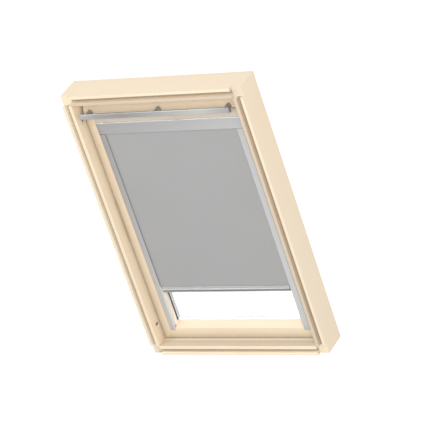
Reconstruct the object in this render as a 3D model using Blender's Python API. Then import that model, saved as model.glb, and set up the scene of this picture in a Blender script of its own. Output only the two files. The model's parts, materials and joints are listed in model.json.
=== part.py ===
"""Centre-pivot pine roof window with a grey blackout roller blind, seen from the room.

Metres. X runs across the window, +Y out through the roof and +Z up the window.
The origin is the middle of the sill's underside, at half the depth of the pine frame.
"""

import math

import bmesh
import bpy
from mathutils import Matrix, Vector

# Pine frame
FRAME_W = 0.780
FRAME_H = 1.178
FRAME_D = 0.127
MEMBER_W = 0.041
OUTER_LIP_W = 0.011
GROOVE_W = 0.0165
GROOVE_DEPTH = 0.0155

# Clearances
PIECE_GAP = 0.0003
SASH_SIDE_GAP = 0.002
SASH_TOP_GAP = 0.004
SASH_BOTTOM_GAP = 0.003
PIN_CLEARANCE = 0.0003
SLIDE_CLEARANCE = 0.0006
STRIKER_SIDE_CLEARANCE = 0.004
STRIKER_DEPTH_CLEARANCE = 0.002

# Sash
SASH_FACE_Y = -0.004
STILE_FACE_W = 0.0347
STILE_W = 0.057
STILE_REBATE_DEPTH = 0.010
BOTTOM_RAIL_FACE = 0.043
TOP_RAIL_H = 0.036
BEVEL_H = 0.022
GLASS_REBATE_W = 0.0155
UPSTAND_D = 0.019

# Glazing
PANE_T = 0.004
CAVITY_T = 0.015
GASKET_T = 0.0026
GASKET_SHOW = 0.0015
SPACER_SHOW = 0.002
GLASS_EDGE_CLEARANCE = 0.0005
GLASS_BACK_CLEARANCE = 0.0012

# Weather seal round the sash
SEAL_Y = 0.039
SEAL_W = 0.006
SEAL_STAND = 0.0013
SEAL_DEPTH = 0.003

# Sash pivot at half height
PIVOT_Y = 0.012
PIVOT_PIN_R = 0.006
PIVOT_HEAD_R = 0.010
PIVOT_HEAD_T = 0.0025
PIVOT_REACH = 0.010
HINGE_PLATE_T = 0.003
HINGE_PLATE_W = 0.040
HINGE_PLATE_H = 0.180
VENT_ANGLE = math.radians(4.25)
CLEAN_ANGLE = math.radians(175.0)

# Ventilation flap and its control bar
FLAP_H = 0.062
FLAP_SEAT_GAP = 0.005
FLAP_END_GAP = 0.011
FLAP_NOSE_R = 0.012
FLAP_NOSE_Y = -0.006
FLAP_TOP_Y = 0.002
FLAP_TOP_T = 0.008
FLAP_BACK_Y = 0.020
FLAP_BACK_RISE = 0.031
FLAP_PIN_R = 0.0025
FLAP_PIN_GRIP = 0.012
FLAP_LUG_T = 0.004
FLAP_LUG_R = 0.007
FLAP_LUG_FOOT_T = 0.002
BAR_HALF_W = 0.3235
BAR_FRONT_Y = -0.066
BAR_D = 0.010
BAR_H = 0.022
BAR_ABOVE_PIVOT = 0.008
BAR_ROUND = 0.0035
BAR_CAP_T = 0.0035
ARM_T = 0.009
ARM_INSET = 0.0225
ARM_REACH = 0.034
ARM_RISE = 0.0085
ARM_FOOT_H = 0.009
ARM_ROOT_HALF = 0.0055
ARM_ROUND = 0.0045
ARM_SLOPE_L = 0.0113
ARM_SLOPE_DROP = 0.0011

# Lock
LOCK_W = 0.090
LOCK_D = 0.0150
LOCK_H = 0.044
TONGUE_W = 0.016
TONGUE_D = 0.008
TONGUE_H = 0.040
TONGUE_STAND = 0.008
TONGUE_TRAVEL = 0.008
TONGUE_CHAMFER = 0.002
STRIKER_W = 0.060
STRIKER_D = 0.024
STRIKER_T = 0.0017
STRIKER_POCKET = 0.012

# Barrel bolt
BOLT_R = 0.004
BOLT_L = 0.026
BOLT_TRAVEL = 0.012
BOLT_CHAMFER = 0.002
BOLT_Y = 0.009
BOLT_BELOW_SEAT = 0.010
BOLT_KNOB_R = 0.0025
BOLT_KNOB_STAND = 0.007
BOLT_KNOB_INSET = 0.00375
BUSH_W = 0.028
UPPER_BUSH_H = 0.024
UPPER_BUSH_LEAD = 0.007
LOWER_BUSH_H = 0.013
BUSH_SLOT_L = 0.010
BUSH_T = 0.0022
BUSH_SCREW_R = 0.0028
BUSH_SCREW_DROP = 0.0085
BUSH_SCREW_SIDE = 0.0035

# Blind
CASING_H = 0.048
CASING_FRONT_Y = -0.0055
CASING_BACK_GAP = 0.0015
CASING_TOP_CLEARANCE = 0.003
CASING_BACK_LIP = 0.040
CASING_FRONT_LIP = 0.0027
CASING_CAP_T = 0.005
SHEET_T = 0.0012
RAIL_W = 0.025
RAIL_FRONT_Y = -0.006
RAIL_EDGE_D = 0.0028
RAIL_OVERLAP_SASH = 0.009
RAIL_BACK_SETBACK = 0.0035
RAIL_STOP_H = 0.008
CLOTH_Y = 0.0
CLOTH_T = 0.0006
CLOTH_EDGE_CLEARANCE = 0.010
ROLLER_R = 0.007
ROLL_R = 0.009
ROLL_CLEARANCE = 0.0013
ROLLER_PIN_R = 0.0025
ROLLER_END_ROOM = 0.004
ROLLER_FLANGE_T = 0.002
ROLLER_PLUG_GRIP = 0.012
CLOTH_TOP_DROP = 0.00225
DROP_BAR_H = 0.0245
DROP_BAR_T = 0.0046
DROP_BAR_LIP_Z = 0.012
DROP_BAR_LIP_H = 0.0035
DROP_BAR_LIP_STAND = 0.0045
DROP_BAR_LIP_SLOPE = 0.00075
DROP_BAR_FOOT_STAND = 0.0015
DROP_BAR_FOOT_H = 0.0035
DROP_BAR_SIDE_GAP = 0.004
DROP_BAR_OPEN = 0.147
GLIDE_H = 0.016

# Aluminium covers on the weather side
COVER_T = 0.0012
FRAME_COVER_INSET = 0.014
FRAME_COVER_RISE = 0.010
FRAME_COVER_SLOPE = 0.0033
SASH_COVER_RISE = 0.0115
SASH_COVER_SLOPE = 0.0038
SASH_COVER_OVERLAP = 0.008

# Levels and edges that the sizes above fix
ROOM_Y = -FRAME_D / 2
WEATHER_Y = FRAME_D / 2
BLOCK_Y = ROOM_Y + GROOVE_DEPTH
OUT_X = FRAME_W / 2
IN_X = OUT_X - MEMBER_W
SILL_TOP = MEMBER_W
HEAD_LOW = FRAME_H - MEMBER_W
SASH_X = IN_X - SASH_SIDE_GAP
SASH_LOW = SILL_TOP + SASH_BOTTOM_GAP
SASH_TOP = HEAD_LOW - SASH_TOP_GAP
SHOULDER_X = SASH_X - STILE_FACE_W
SIGHT_X = SASH_X - STILE_W
REBATE_Y = SASH_FACE_Y + STILE_REBATE_DEPTH
ROLLER_Y = CLOTH_Y + ROLL_R
CASING_BACK_Y = ROLLER_Y + ROLL_R + ROLL_CLEARANCE + SHEET_T
GLASS_SEAT_Y = CASING_BACK_Y + CASING_BACK_GAP
GLAZING_D = 4 * PIECE_GAP + GASKET_T + 2 * PANE_T + CAVITY_T
SASH_BACK_Y = GLASS_SEAT_Y + GLAZING_D + GLASS_BACK_CLEARANCE
GLASS_POCKET_X = SIGHT_X + GLASS_REBATE_W
FLAP_LOW = SASH_TOP - FLAP_H
FLAP_SEAT = FLAP_LOW - FLAP_SEAT_GAP
UPSTAND_Y = SASH_BACK_Y - UPSTAND_D
TOP_SIGHT = FLAP_SEAT - TOP_RAIL_H
BOTTOM_FACE_TOP = SASH_LOW + BOTTOM_RAIL_FACE
BOTTOM_SIGHT = BOTTOM_FACE_TOP + BEVEL_H
GLASS_POCKET_TOP = TOP_SIGHT + GLASS_REBATE_W
GLASS_POCKET_LOW = BOTTOM_SIGHT - GLASS_REBATE_W
PIVOT_Z = FRAME_H / 2
CASING_TOP = TOP_SIGHT - CASING_TOP_CLEARANCE
CASING_LOW = CASING_TOP - CASING_H
RAIL_OUT_X = SHOULDER_X - 2 * PIECE_GAP
RAIL_IN_X = RAIL_OUT_X - RAIL_W
RAIL_BACK_Y = REBATE_Y - PIECE_GAP
RAIL_LOW = BOTTOM_FACE_TOP - RAIL_OVERLAP_SASH
ROLLER_Z = CASING_TOP - CASING_H / 2
FLAP_X = SASH_X - FLAP_END_GAP
FLAP_AXIS_Z = FLAP_LOW + FLAP_NOSE_R
BOLT_Z = FLAP_SEAT - BOLT_BELOW_SEAT
DROP_BAR_LOW = BOTTOM_SIGHT + DROP_BAR_OPEN
DROP_BAR_TOP = DROP_BAR_LOW + DROP_BAR_H

# How far a cutter runs past what it cuts, and how fine the round shapes are
CUT_MARGIN = 0.010
ROUND_STEPS = 24
SMALL_ROUND_STEPS = 16
SMOOTH_BELOW = math.radians(35.0)
WELD_DISTANCE = 1e-6

SIDES = (("left", -1), ("right", 1))


def remove_old_objects():
    for item in list(bpy.data.objects):
        bpy.data.objects.remove(item, do_unlink=True)


def finish(name, colour, roughness, metallic=0.0):
    """A plain Principled material with one colour."""
    made = bpy.data.materials.new(name)
    made.use_nodes = True
    shader = made.node_tree.nodes["Principled BSDF"]
    shader.inputs["Base Color"].default_value = (*colour, 1.0)
    shader.inputs["Roughness"].default_value = roughness
    shader.inputs["Metallic"].default_value = metallic
    made.diffuse_color = (*colour, 1.0)
    return made


def joint_axis(name, place, carrier=None):
    """An empty on a joint's axis, which carries the pieces that move there."""
    axis = bpy.data.objects.new(name, None)
    axis.empty_display_size = 0.03
    bpy.context.collection.objects.link(axis)
    carry(axis, carrier)
    axis["place"] = place
    axis.location = place
    return axis


def carry(item, carrier):
    """Parent an item to a joint's empty and leave it where it is."""
    if carrier is not None:
        item.parent = carrier
        item.matrix_parent_inverse = Matrix.Translation(-Vector(carrier["place"]))


def add_piece(name, bm, material, carrier=None):
    """Turn a bmesh into a named object with outward faces."""
    bmesh.ops.recalc_face_normals(bm, faces=bm.faces)
    mesh = bpy.data.meshes.new(name)
    bm.to_mesh(mesh)
    bm.free()
    piece = bpy.data.objects.new(name, mesh)
    bpy.context.collection.objects.link(piece)
    if material is not None:
        mesh.materials.append(material)
    carry(piece, carrier)
    return piece


def extruded(outline, along, start, end):
    """A bmesh of an outline pushed along X (y, z points), Y (x, z) or Z (x, y)."""
    place = {
        "X": lambda u, v, w: (w, u, v),
        "Y": lambda u, v, w: (u, w, v),
        "Z": lambda u, v, w: (u, v, w),
    }[along]
    bm = bmesh.new()
    near = [bm.verts.new(place(u, v, start)) for u, v in outline]
    far = [bm.verts.new(place(u, v, end)) for u, v in outline]
    bm.faces.new(near)
    bm.faces.new(reversed(far))
    count = len(outline)
    for i in range(count):
        j = (i + 1) % count
        bm.faces.new((near[i], near[j], far[j], far[i]))
    return bm


def rectangle(u0, u1, v0, v1):
    return [(u0, v0), (u1, v0), (u1, v1), (u0, v1)]


def block(x0, x1, y0, y1, z0, z1):
    return extruded(rectangle(x0, x1, y0, y1), "Z", z0, z1)


def arc(centre, radius, start, end, steps):
    """Points on an arc, with its angles in degrees."""
    turns = [math.radians(start + (end - start) * i / steps) for i in range(steps + 1)]
    return [(centre[0] + radius * math.cos(t), centre[1] + radius * math.sin(t)) for t in turns]


def circle(centre, radius, steps=ROUND_STEPS):
    return arc(centre, radius, 0, 360, steps)[:-1]


def folded_sheet(path, thickness):
    """The outline of a sheet of even thickness, folded along a path on its outer side."""
    points = [Vector(p) for p in path]
    normals = []
    for a, b in zip(points, points[1:]):
        run = (b - a).normalized()
        normals.append(Vector((run.y, -run.x)))
    inner = []
    for i, point in enumerate(points):
        before = normals[max(i - 1, 0)]
        after = normals[min(i, len(normals) - 1)]
        across = (before + after).normalized()
        inner.append(point + across * thickness / across.dot(after))
    return [tuple(p) for p in points] + [tuple(p) for p in reversed(inner)]


def flat_ring(half_out, z_out, half_in, z_in, y0, y1):
    """A rectangular ring standing upright: half widths, (low, high) levels and its depth."""
    bm = bmesh.new()
    loops = []
    for half, levels, y in (
        (half_out, z_out, y0),
        (half_out, z_out, y1),
        (half_in, z_in, y1),
        (half_in, z_in, y0),
    ):
        corners = rectangle(-half, half, *levels)
        loops.append([bm.verts.new((x, y, z)) for x, z in corners])
    for i in range(4):
        here, there = loops[i], loops[(i + 1) % 4]
        for j in range(4):
            k = (j + 1) % 4
            bm.faces.new((here[j], here[k], there[k], there[j]))
    return bm


def cut(piece, bm, name):
    """Cut a shape out of a piece, and keep the cutter as a hidden guide."""
    cutter = add_piece(name + "_cutter", bm, None)
    cutter.hide_render = True
    cutter.display_type = "WIRE"
    modifier = piece.modifiers.new(name, "BOOLEAN")
    modifier.operation = "DIFFERENCE"
    modifier.solver = "EXACT"
    modifier.object = cutter


def shade_round(piece):
    piece.data.shade_smooth()
    piece.data.set_sharp_from_angle(angle=SMOOTH_BELOW)


def swung(y, z, angle):
    """Where a point of the closed sash comes when the sash is swung open by an angle."""
    dy, dz = y - PIVOT_Y, z - PIVOT_Z
    turned_y = dy * math.cos(angle) - dz * math.sin(angle)
    turned_z = dy * math.sin(angle) + dz * math.cos(angle)
    return PIVOT_Y + turned_y, PIVOT_Z + turned_z


remove_old_objects()

PINE = finish("pine", (0.86, 0.70, 0.48), 0.45)
COVER = finish("weather_cover", (0.09, 0.10, 0.11), 0.45, 0.6)
SILVER = finish("silver_aluminium", (0.55, 0.55, 0.56), 0.35, 0.6)
BAR_METAL = finish("bar_aluminium", (0.55, 0.55, 0.54), 0.30, 0.8)
STEEL = finish("zinc_steel", (0.50, 0.50, 0.49), 0.35, 1.0)
DARK_PLASTIC = finish("dark_plastic", (0.10, 0.09, 0.085), 0.5)
GREY_PLASTIC = finish("grey_plastic", (0.42, 0.42, 0.42), 0.5)
BEIGE_PLASTIC = finish("beige_plastic", (0.62, 0.52, 0.38), 0.5)
RUBBER = finish("rubber", (0.03, 0.03, 0.03), 0.7)
GLASS = finish("glass", (0.90, 0.95, 0.95), 0.02)
SPACER = finish("spacer", (0.45, 0.46, 0.46), 0.4, 0.7)
CLOTH = finish("blackout_cloth", (0.43, 0.43, 0.43), 0.85)

SASH_AXIS = joint_axis("sash_pivot_axis", (0, PIVOT_Y, PIVOT_Z))
FLAP_AXIS = joint_axis("flap_axis", (0, FLAP_NOSE_Y, FLAP_AXIS_Z), SASH_AXIS)
ROLLER_AXIS = joint_axis("roller_axis", (0, ROLLER_Y, ROLLER_Z), SASH_AXIS)
DROP_AXIS = joint_axis("drop_bar_slide", (0, CLOTH_Y, DROP_BAR_LOW), SASH_AXIS)
BOLT_AXIS = joint_axis("bolt_slide", (-SASH_X, BOLT_Y, BOLT_Z), SASH_AXIS)
TONGUE_AXIS = joint_axis("tongue_slide", (0, UPSTAND_Y + LOCK_D / 2, SASH_TOP), SASH_AXIS)


def member_section(outer, inward):
    """Outline (across, y) of a frame member: block, outer lip, lining groove and inner lip."""
    across = [
        (0, WEATHER_Y),
        (0, ROOM_Y),
        (OUTER_LIP_W, ROOM_Y),
        (OUTER_LIP_W, BLOCK_Y),
        (OUTER_LIP_W + GROOVE_W, BLOCK_Y),
        (OUTER_LIP_W + GROOVE_W, ROOM_Y),
        (MEMBER_W, ROOM_Y),
        (MEMBER_W, WEATHER_Y),
    ]
    return [(outer + inward * a, y) for a, y in across]


def make_frame_members():
    """Jambs run full height with plain square corner blocks; head and sill fit between them."""
    for side, s in SIDES:
        section = member_section(s * OUT_X, -s)
        jamb = add_piece(f"frame_jamb_{side}", extruded(section, "Z", 0, FRAME_H), PINE)
        for end, low, high in (("top", HEAD_LOW, FRAME_H + CUT_MARGIN), ("foot", -CUT_MARGIN, SILL_TOP)):
            xs = sorted((s * (OUT_X + CUT_MARGIN), s * (IN_X - CUT_MARGIN)))
            corner = block(*xs, ROOM_Y - CUT_MARGIN, BLOCK_Y, low, high)
            cut(jamb, corner, f"{side}_{end}_corner")
    for name, outer, inward in (("frame_head", FRAME_H, -1), ("frame_sill", 0, 1)):
        section = [(y, across) for across, y in member_section(outer, inward)]
        reach = IN_X - PIECE_GAP
        add_piece(name, extruded(section, "X", -reach, reach), PINE)


def cover_path(outer, inner, low_y, rise, slope):
    """A folded cover: up its inner edge, across with a rise, and down its outer wall."""
    return [(inner, low_y), (inner, low_y + rise - slope), (outer, low_y + rise), (outer, low_y)]


def make_frame_covers():
    """Folded sheet covers on the weather side of the frame, clear of its outer faces."""
    base = WEATHER_Y + PIECE_GAP
    inner_x = IN_X + SASH_SIDE_GAP
    for side, s in SIDES:
        path = cover_path(OUT_X - FRAME_COVER_INSET, inner_x, base, FRAME_COVER_RISE, FRAME_COVER_SLOPE)
        outline = [(s * x, y) for x, y in folded_sheet(path, COVER_T)]
        body = extruded(outline, "Z", FRAME_COVER_INSET, FRAME_H - FRAME_COVER_INSET)
        add_piece(f"frame_cover_{side}", body, COVER)
    reach = inner_x - PIECE_GAP
    for name, outer, inner in (
        ("frame_cover_head", FRAME_H - FRAME_COVER_INSET, HEAD_LOW + SASH_SIDE_GAP),
        ("frame_cover_sill", FRAME_COVER_INSET, SILL_TOP - SASH_SIDE_GAP),
    ):
        facing = 1 if outer > inner else -1
        path = cover_path(facing * outer, facing * inner, base, FRAME_COVER_RISE, FRAME_COVER_SLOPE)
        outline = [(y, facing * z) for z, y in folded_sheet(path, COVER_T)]
        add_piece(name, extruded(outline, "X", -reach, reach), COVER)


def make_sash_stiles():
    """Stiles with a shoulder for the blind's rail, a glass pocket and a step for the flap."""
    section = [
        (SASH_X, SASH_FACE_Y),
        (SASH_X, SASH_BACK_Y),
        (GLASS_POCKET_X, SASH_BACK_Y),
        (GLASS_POCKET_X, GLASS_SEAT_Y),
        (SIGHT_X, GLASS_SEAT_Y),
        (SIGHT_X, REBATE_Y),
        (SHOULDER_X, REBATE_Y),
        (SHOULDER_X, SASH_FACE_Y),
    ]
    for side, s in SIDES:
        outline = [(s * x, y) for x, y in section]
        stile = add_piece(
            f"sash_stile_{side}", extruded(outline, "Z", SASH_LOW, SASH_TOP), PINE, SASH_AXIS
        )
        xs = sorted((s * (SIGHT_X - CUT_MARGIN), s * (SASH_X + CUT_MARGIN)))
        step = block(
            *xs,
            SASH_FACE_Y - CUT_MARGIN,
            UPSTAND_Y - PIECE_GAP,
            FLAP_SEAT + PIECE_GAP,
            SASH_TOP + CUT_MARGIN,
        )
        cut(stile, step, f"{side}_flap_step")
        xs = sorted((s * (SIGHT_X - CUT_MARGIN), s * SHOULDER_X))
        housing = block(
            *xs,
            REBATE_Y - CUT_MARGIN,
            GLASS_SEAT_Y + PIECE_GAP,
            CASING_LOW - PIECE_GAP,
            TOP_SIGHT,
        )
        cut(stile, housing, f"{side}_casing_housing")


def trim_rail_ends(rail, name, shoulder_cut):
    """Cut the steps at a sash rail's ends, where it fits the stiles and the blind's rails."""
    far_x = SHOULDER_X + CUT_MARGIN
    tall = (-CUT_MARGIN, FRAME_H + CUT_MARGIN)
    for side, s in SIDES:
        steps = [
            (SIGHT_X - PIECE_GAP, REBATE_Y - PIECE_GAP, GLASS_SEAT_Y + PIECE_GAP, *tall),
            (GLASS_POCKET_X - PIECE_GAP, REBATE_Y, SASH_BACK_Y + CUT_MARGIN, *tall),
        ]
        if shoulder_cut is not None:
            steps.append((RAIL_IN_X - PIECE_GAP, SASH_FACE_Y - CUT_MARGIN, REBATE_Y, *shoulder_cut))
        for number, (from_x, y0, y1, z0, z1) in enumerate(steps):
            xs = sorted((s * from_x, s * far_x))
            cut(rail, block(*xs, y0, y1, z0, z1), f"{name}_{side}_step_{number}")


def make_sash_rails():
    """Bottom rail with a bevel up to the glass; square top rail with an upstand behind the flap."""
    reach = SHOULDER_X - PIECE_GAP
    bottom = [
        (SASH_FACE_Y, SASH_LOW),
        (SASH_BACK_Y, SASH_LOW),
        (SASH_BACK_Y, GLASS_POCKET_LOW),
        (GLASS_SEAT_Y, GLASS_POCKET_LOW),
        (GLASS_SEAT_Y, BOTTOM_SIGHT),
        (SASH_FACE_Y, BOTTOM_FACE_TOP),
    ]
    rail = add_piece(
        "sash_bottom_rail", extruded(bottom, "X", -reach, reach), PINE, SASH_AXIS
    )
    trim_rail_ends(rail, "bottom_rail", (RAIL_LOW - PIECE_GAP, FRAME_H))
    top = [
        (SASH_FACE_Y, TOP_SIGHT),
        (SASH_FACE_Y, FLAP_SEAT),
        (UPSTAND_Y, FLAP_SEAT),
        (UPSTAND_Y, SASH_TOP),
        (SASH_BACK_Y, SASH_TOP),
        (SASH_BACK_Y, GLASS_POCKET_TOP),
        (GLASS_SEAT_Y, GLASS_POCKET_TOP),
        (GLASS_SEAT_Y, TOP_SIGHT),
    ]
    rail = add_piece("sash_top_rail", extruded(top, "X", -reach, reach), PINE, SASH_AXIS)
    trim_rail_ends(rail, "top_rail", None)
    return rail


def make_glazing():
    """Sealed double glazing: gasket, inner pane, spacer and outer pane, from the room out."""
    half = GLASS_POCKET_X - GLASS_EDGE_CLEARANCE
    levels = (GLASS_POCKET_LOW + GLASS_EDGE_CLEARANCE, GLASS_POCKET_TOP - GLASS_EDGE_CLEARANCE)
    y = GLASS_SEAT_Y + PIECE_GAP
    inner = (BOTTOM_SIGHT + GASKET_SHOW, TOP_SIGHT - GASKET_SHOW)
    gasket = flat_ring(half, levels, SIGHT_X - GASKET_SHOW, inner, y, y + GASKET_T)
    add_piece("glazing_gasket", gasket, RUBBER, SASH_AXIS)
    y += GASKET_T + PIECE_GAP
    pane = block(-half, half, y, y + PANE_T, *levels)
    add_piece("inner_pane", pane, GLASS, SASH_AXIS)
    y += PANE_T + PIECE_GAP
    inner = (BOTTOM_SIGHT + SPACER_SHOW, TOP_SIGHT - SPACER_SHOW)
    spacer = flat_ring(half, levels, SIGHT_X - SPACER_SHOW, inner, y, y + CAVITY_T)
    add_piece("glass_spacer", spacer, SPACER, SASH_AXIS)
    y += CAVITY_T + PIECE_GAP
    pane = block(-half, half, y, y + PANE_T, *levels)
    add_piece("outer_pane", pane, GLASS, SASH_AXIS)


def make_sash_covers():
    """Folded sheet covers that clamp the glass from the weather side."""
    base = SASH_BACK_Y + PIECE_GAP
    outer_x = SASH_X - PIECE_GAP
    inner_x = GLASS_POCKET_X - SASH_COVER_OVERLAP
    low, high = SASH_LOW + PIECE_GAP, SASH_TOP - PIECE_GAP
    for side, s in SIDES:
        path = cover_path(outer_x, inner_x, base, SASH_COVER_RISE, SASH_COVER_SLOPE)
        outline = [(s * x, y) for x, y in folded_sheet(path, COVER_T)]
        body = extruded(outline, "Z", low, high)
        add_piece(f"sash_cover_{side}", body, COVER, SASH_AXIS)
    reach = inner_x - PIECE_GAP
    for name, outer, inner in (
        ("sash_cover_top", high, GLASS_POCKET_TOP - SASH_COVER_OVERLAP),
        ("sash_cover_bottom", low, GLASS_POCKET_LOW + SASH_COVER_OVERLAP),
    ):
        facing = 1 if outer > inner else -1
        path = cover_path(facing * outer, facing * inner, base, SASH_COVER_RISE, SASH_COVER_SLOPE)
        outline = [(y, facing * z) for z, y in folded_sheet(path, COVER_T)]
        add_piece(name, extruded(outline, "X", -reach, reach), COVER, SASH_AXIS)


def make_weather_seal():
    """A rubber ring in a groove round the sash, and the groove in each sash member."""
    y0, y1 = SEAL_Y - SEAL_W / 2, SEAL_Y + SEAL_W / 2
    stand = SEAL_STAND
    sunk = SEAL_DEPTH - PIECE_GAP
    seal = flat_ring(
        SASH_X + stand,
        (SASH_LOW - stand, SASH_TOP + stand),
        SASH_X - sunk,
        (SASH_LOW + sunk, SASH_TOP - sunk),
        y0,
        y1,
    )
    add_piece("weather_seal", seal, RUBBER, SASH_AXIS)
    for name in ("sash_stile_left", "sash_stile_right", "sash_top_rail", "sash_bottom_rail"):
        groove = flat_ring(
            SASH_X + CUT_MARGIN,
            (SASH_LOW - CUT_MARGIN, SASH_TOP + CUT_MARGIN),
            SASH_X - SEAL_DEPTH,
            (SASH_LOW + SEAL_DEPTH, SASH_TOP - SEAL_DEPTH),
            y0 - PIECE_GAP,
            y1 + PIECE_GAP,
        )
        cut(bpy.data.objects[name], groove, f"{name}_seal_groove")


def make_pivots():
    """Friction pivots at half height: a plate in each jamb, a plate in each stile and a pin."""
    axis = (PIVOT_Y, PIVOT_Z)
    y0, y1 = PIVOT_Y - HINGE_PLATE_W / 2, PIVOT_Y + HINGE_PLATE_W / 2
    z0, z1 = PIVOT_Z - HINGE_PLATE_H / 2, PIVOT_Z + HINGE_PLATE_H / 2
    gap = PIECE_GAP
    hole_r = PIVOT_PIN_R + PIN_CLEARANCE
    pin_end = IN_X + PIVOT_REACH
    head_x = SASH_X - HINGE_PLATE_T - gap
    for side, s in SIDES:
        jamb = bpy.data.objects[f"frame_jamb_{side}"]
        stile = bpy.data.objects[f"sash_stile_{side}"]

        plate = extruded(rectangle(y0, y1, z0, z1), "X", s * IN_X, s * (IN_X + HINGE_PLATE_T))
        piece = add_piece(f"pivot_plate_frame_{side}", plate, STEEL)
        hole = extruded(circle(axis, hole_r), "X", s * SASH_X, s * pin_end)
        cut(piece, hole, f"frame_plate_hole_{side}")
        pocket = extruded(
            rectangle(y0 - gap, y1 + gap, z0 - gap, z1 + gap),
            "X",
            s * SASH_X,
            s * (IN_X + HINGE_PLATE_T + gap),
        )
        cut(jamb, pocket, f"jamb_pivot_pocket_{side}")
        bore = extruded(circle(axis, hole_r + gap), "X", s * SASH_X, s * (pin_end + gap))
        cut(jamb, bore, f"jamb_pivot_bore_{side}")

        plate = extruded(
            rectangle(y0, y1, z0, z1), "X", s * (SASH_X - HINGE_PLATE_T), s * SASH_X
        )
        piece = add_piece(f"pivot_plate_sash_{side}", plate, STEEL, SASH_AXIS)
        hole = extruded(circle(axis, hole_r), "X", s * SIGHT_X, s * IN_X)
        cut(piece, hole, f"sash_plate_hole_{side}")
        pocket = extruded(
            rectangle(y0 - gap, y1 + gap, z0 - gap, z1 + gap), "X", s * head_x, s * IN_X
        )
        cut(stile, pocket, f"stile_pivot_pocket_{side}")
        bore = extruded(
            circle(axis, PIVOT_HEAD_R + gap),
            "X",
            s * (head_x - PIVOT_HEAD_T - gap),
            s * IN_X,
        )
        cut(stile, bore, f"stile_pivot_bore_{side}")

        profile = [
            (0, head_x - PIVOT_HEAD_T),
            (PIVOT_HEAD_R, head_x - PIVOT_HEAD_T),
            (PIVOT_HEAD_R, head_x),
            (PIVOT_PIN_R, head_x),
            (PIVOT_PIN_R, pin_end),
            (0, pin_end),
        ]
        pin = turned(profile, axis, s)
        shade_round(add_piece(f"pivot_pin_{side}", pin, STEEL, SASH_AXIS))


def turned(profile, axis, s=1, steps=ROUND_STEPS):
    """Spin (radius, x) points about a line along X through the (y, z) point axis."""
    bm = bmesh.new()
    rings = []
    for radius, x in profile:
        if radius == 0:
            rings.append([bm.verts.new((s * x, *axis))])
        else:
            rings.append([bm.verts.new((s * x, y, z)) for y, z in circle(axis, radius, steps)])
    for here, there in zip(rings, rings[1:]):
        for i in range(steps):
            j = (i + 1) % steps
            corners = [here[i % len(here)], here[j % len(here)]]
            corners += [there[j % len(there)], there[i % len(there)]]
            bm.faces.new(list(dict.fromkeys(corners)))
    return bm


def nose_tangent_degrees():
    """Direction from the nose's centre to where the flap's leaning face leaves it."""
    dy, dz = FLAP_TOP_Y - FLAP_NOSE_Y, SASH_TOP - FLAP_AXIS_Z
    return math.degrees(math.atan2(dz, dy) + math.acos(FLAP_NOSE_R / math.hypot(dy, dz)))


def make_flap():
    """Pine ventilation flap at the top of the sash, turning on a pin at each end."""
    axis = (FLAP_NOSE_Y, FLAP_AXIS_Z)
    outline = [(FLAP_BACK_Y, FLAP_LOW)]
    outline += list(reversed(arc(axis, FLAP_NOSE_R, nose_tangent_degrees(), 270, 12)))
    outline += [(FLAP_TOP_Y, SASH_TOP), (FLAP_TOP_Y + FLAP_TOP_T, SASH_TOP)]
    outline += [(FLAP_BACK_Y, FLAP_LOW + FLAP_BACK_RISE)]
    flap = add_piece("vent_flap", extruded(outline, "X", -FLAP_X, FLAP_X), PINE, FLAP_AXIS)
    gap = PIECE_GAP
    lug_in = FLAP_X + gap
    lug_out = lug_in + FLAP_LUG_T
    foot_z = FLAP_SEAT + 2 * gap
    for side, s in SIDES:
        bore = extruded(
            circle(axis, FLAP_PIN_R + gap, SMALL_ROUND_STEPS),
            "X",
            s * (FLAP_X - FLAP_PIN_GRIP - gap),
            s * (FLAP_X + CUT_MARGIN),
        )
        cut(flap, bore, f"flap_bore_{side}")
        profile = [
            (0, FLAP_X - FLAP_PIN_GRIP),
            (FLAP_PIN_R, FLAP_X - FLAP_PIN_GRIP),
            (FLAP_PIN_R, lug_out + gap),
            (0, lug_out + gap),
        ]
        pin = turned(profile, axis, s, SMALL_ROUND_STEPS)
        shade_round(add_piece(f"flap_pin_{side}", pin, STEEL, FLAP_AXIS))

        stem = [(FLAP_NOSE_Y - FLAP_LUG_R, foot_z), (FLAP_BACK_Y - FLAP_LUG_R, foot_z)]
        stem += arc(axis, FLAP_LUG_R, 20, 180, 10)
        lug = extruded(stem, "X", s * lug_in, s * lug_out)
        lug = add_piece(f"flap_lug_{side}", lug, BEIGE_PLASTIC, SASH_AXIS)
        xs = sorted((s * (lug_in + FLAP_LUG_T / 2), s * (SASH_X - gap)))
        foot = block(
            *xs, stem[0][0] + gap, stem[1][0] - gap, foot_z, foot_z + FLAP_LUG_FOOT_T
        )
        join(lug, foot, f"flap_lug_foot_{side}")
        hole = extruded(
            circle(axis, FLAP_PIN_R + PIN_CLEARANCE, SMALL_ROUND_STEPS),
            "X",
            s * (FLAP_X - CUT_MARGIN),
            s * (SASH_X + CUT_MARGIN),
        )
        cut(lug, hole, f"flap_lug_hole_{side}")


def join(piece, bm, name):
    """Fuse a shape with a piece."""
    cut(piece, bm, name)
    piece.modifiers[name].operation = "UNION"


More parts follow.
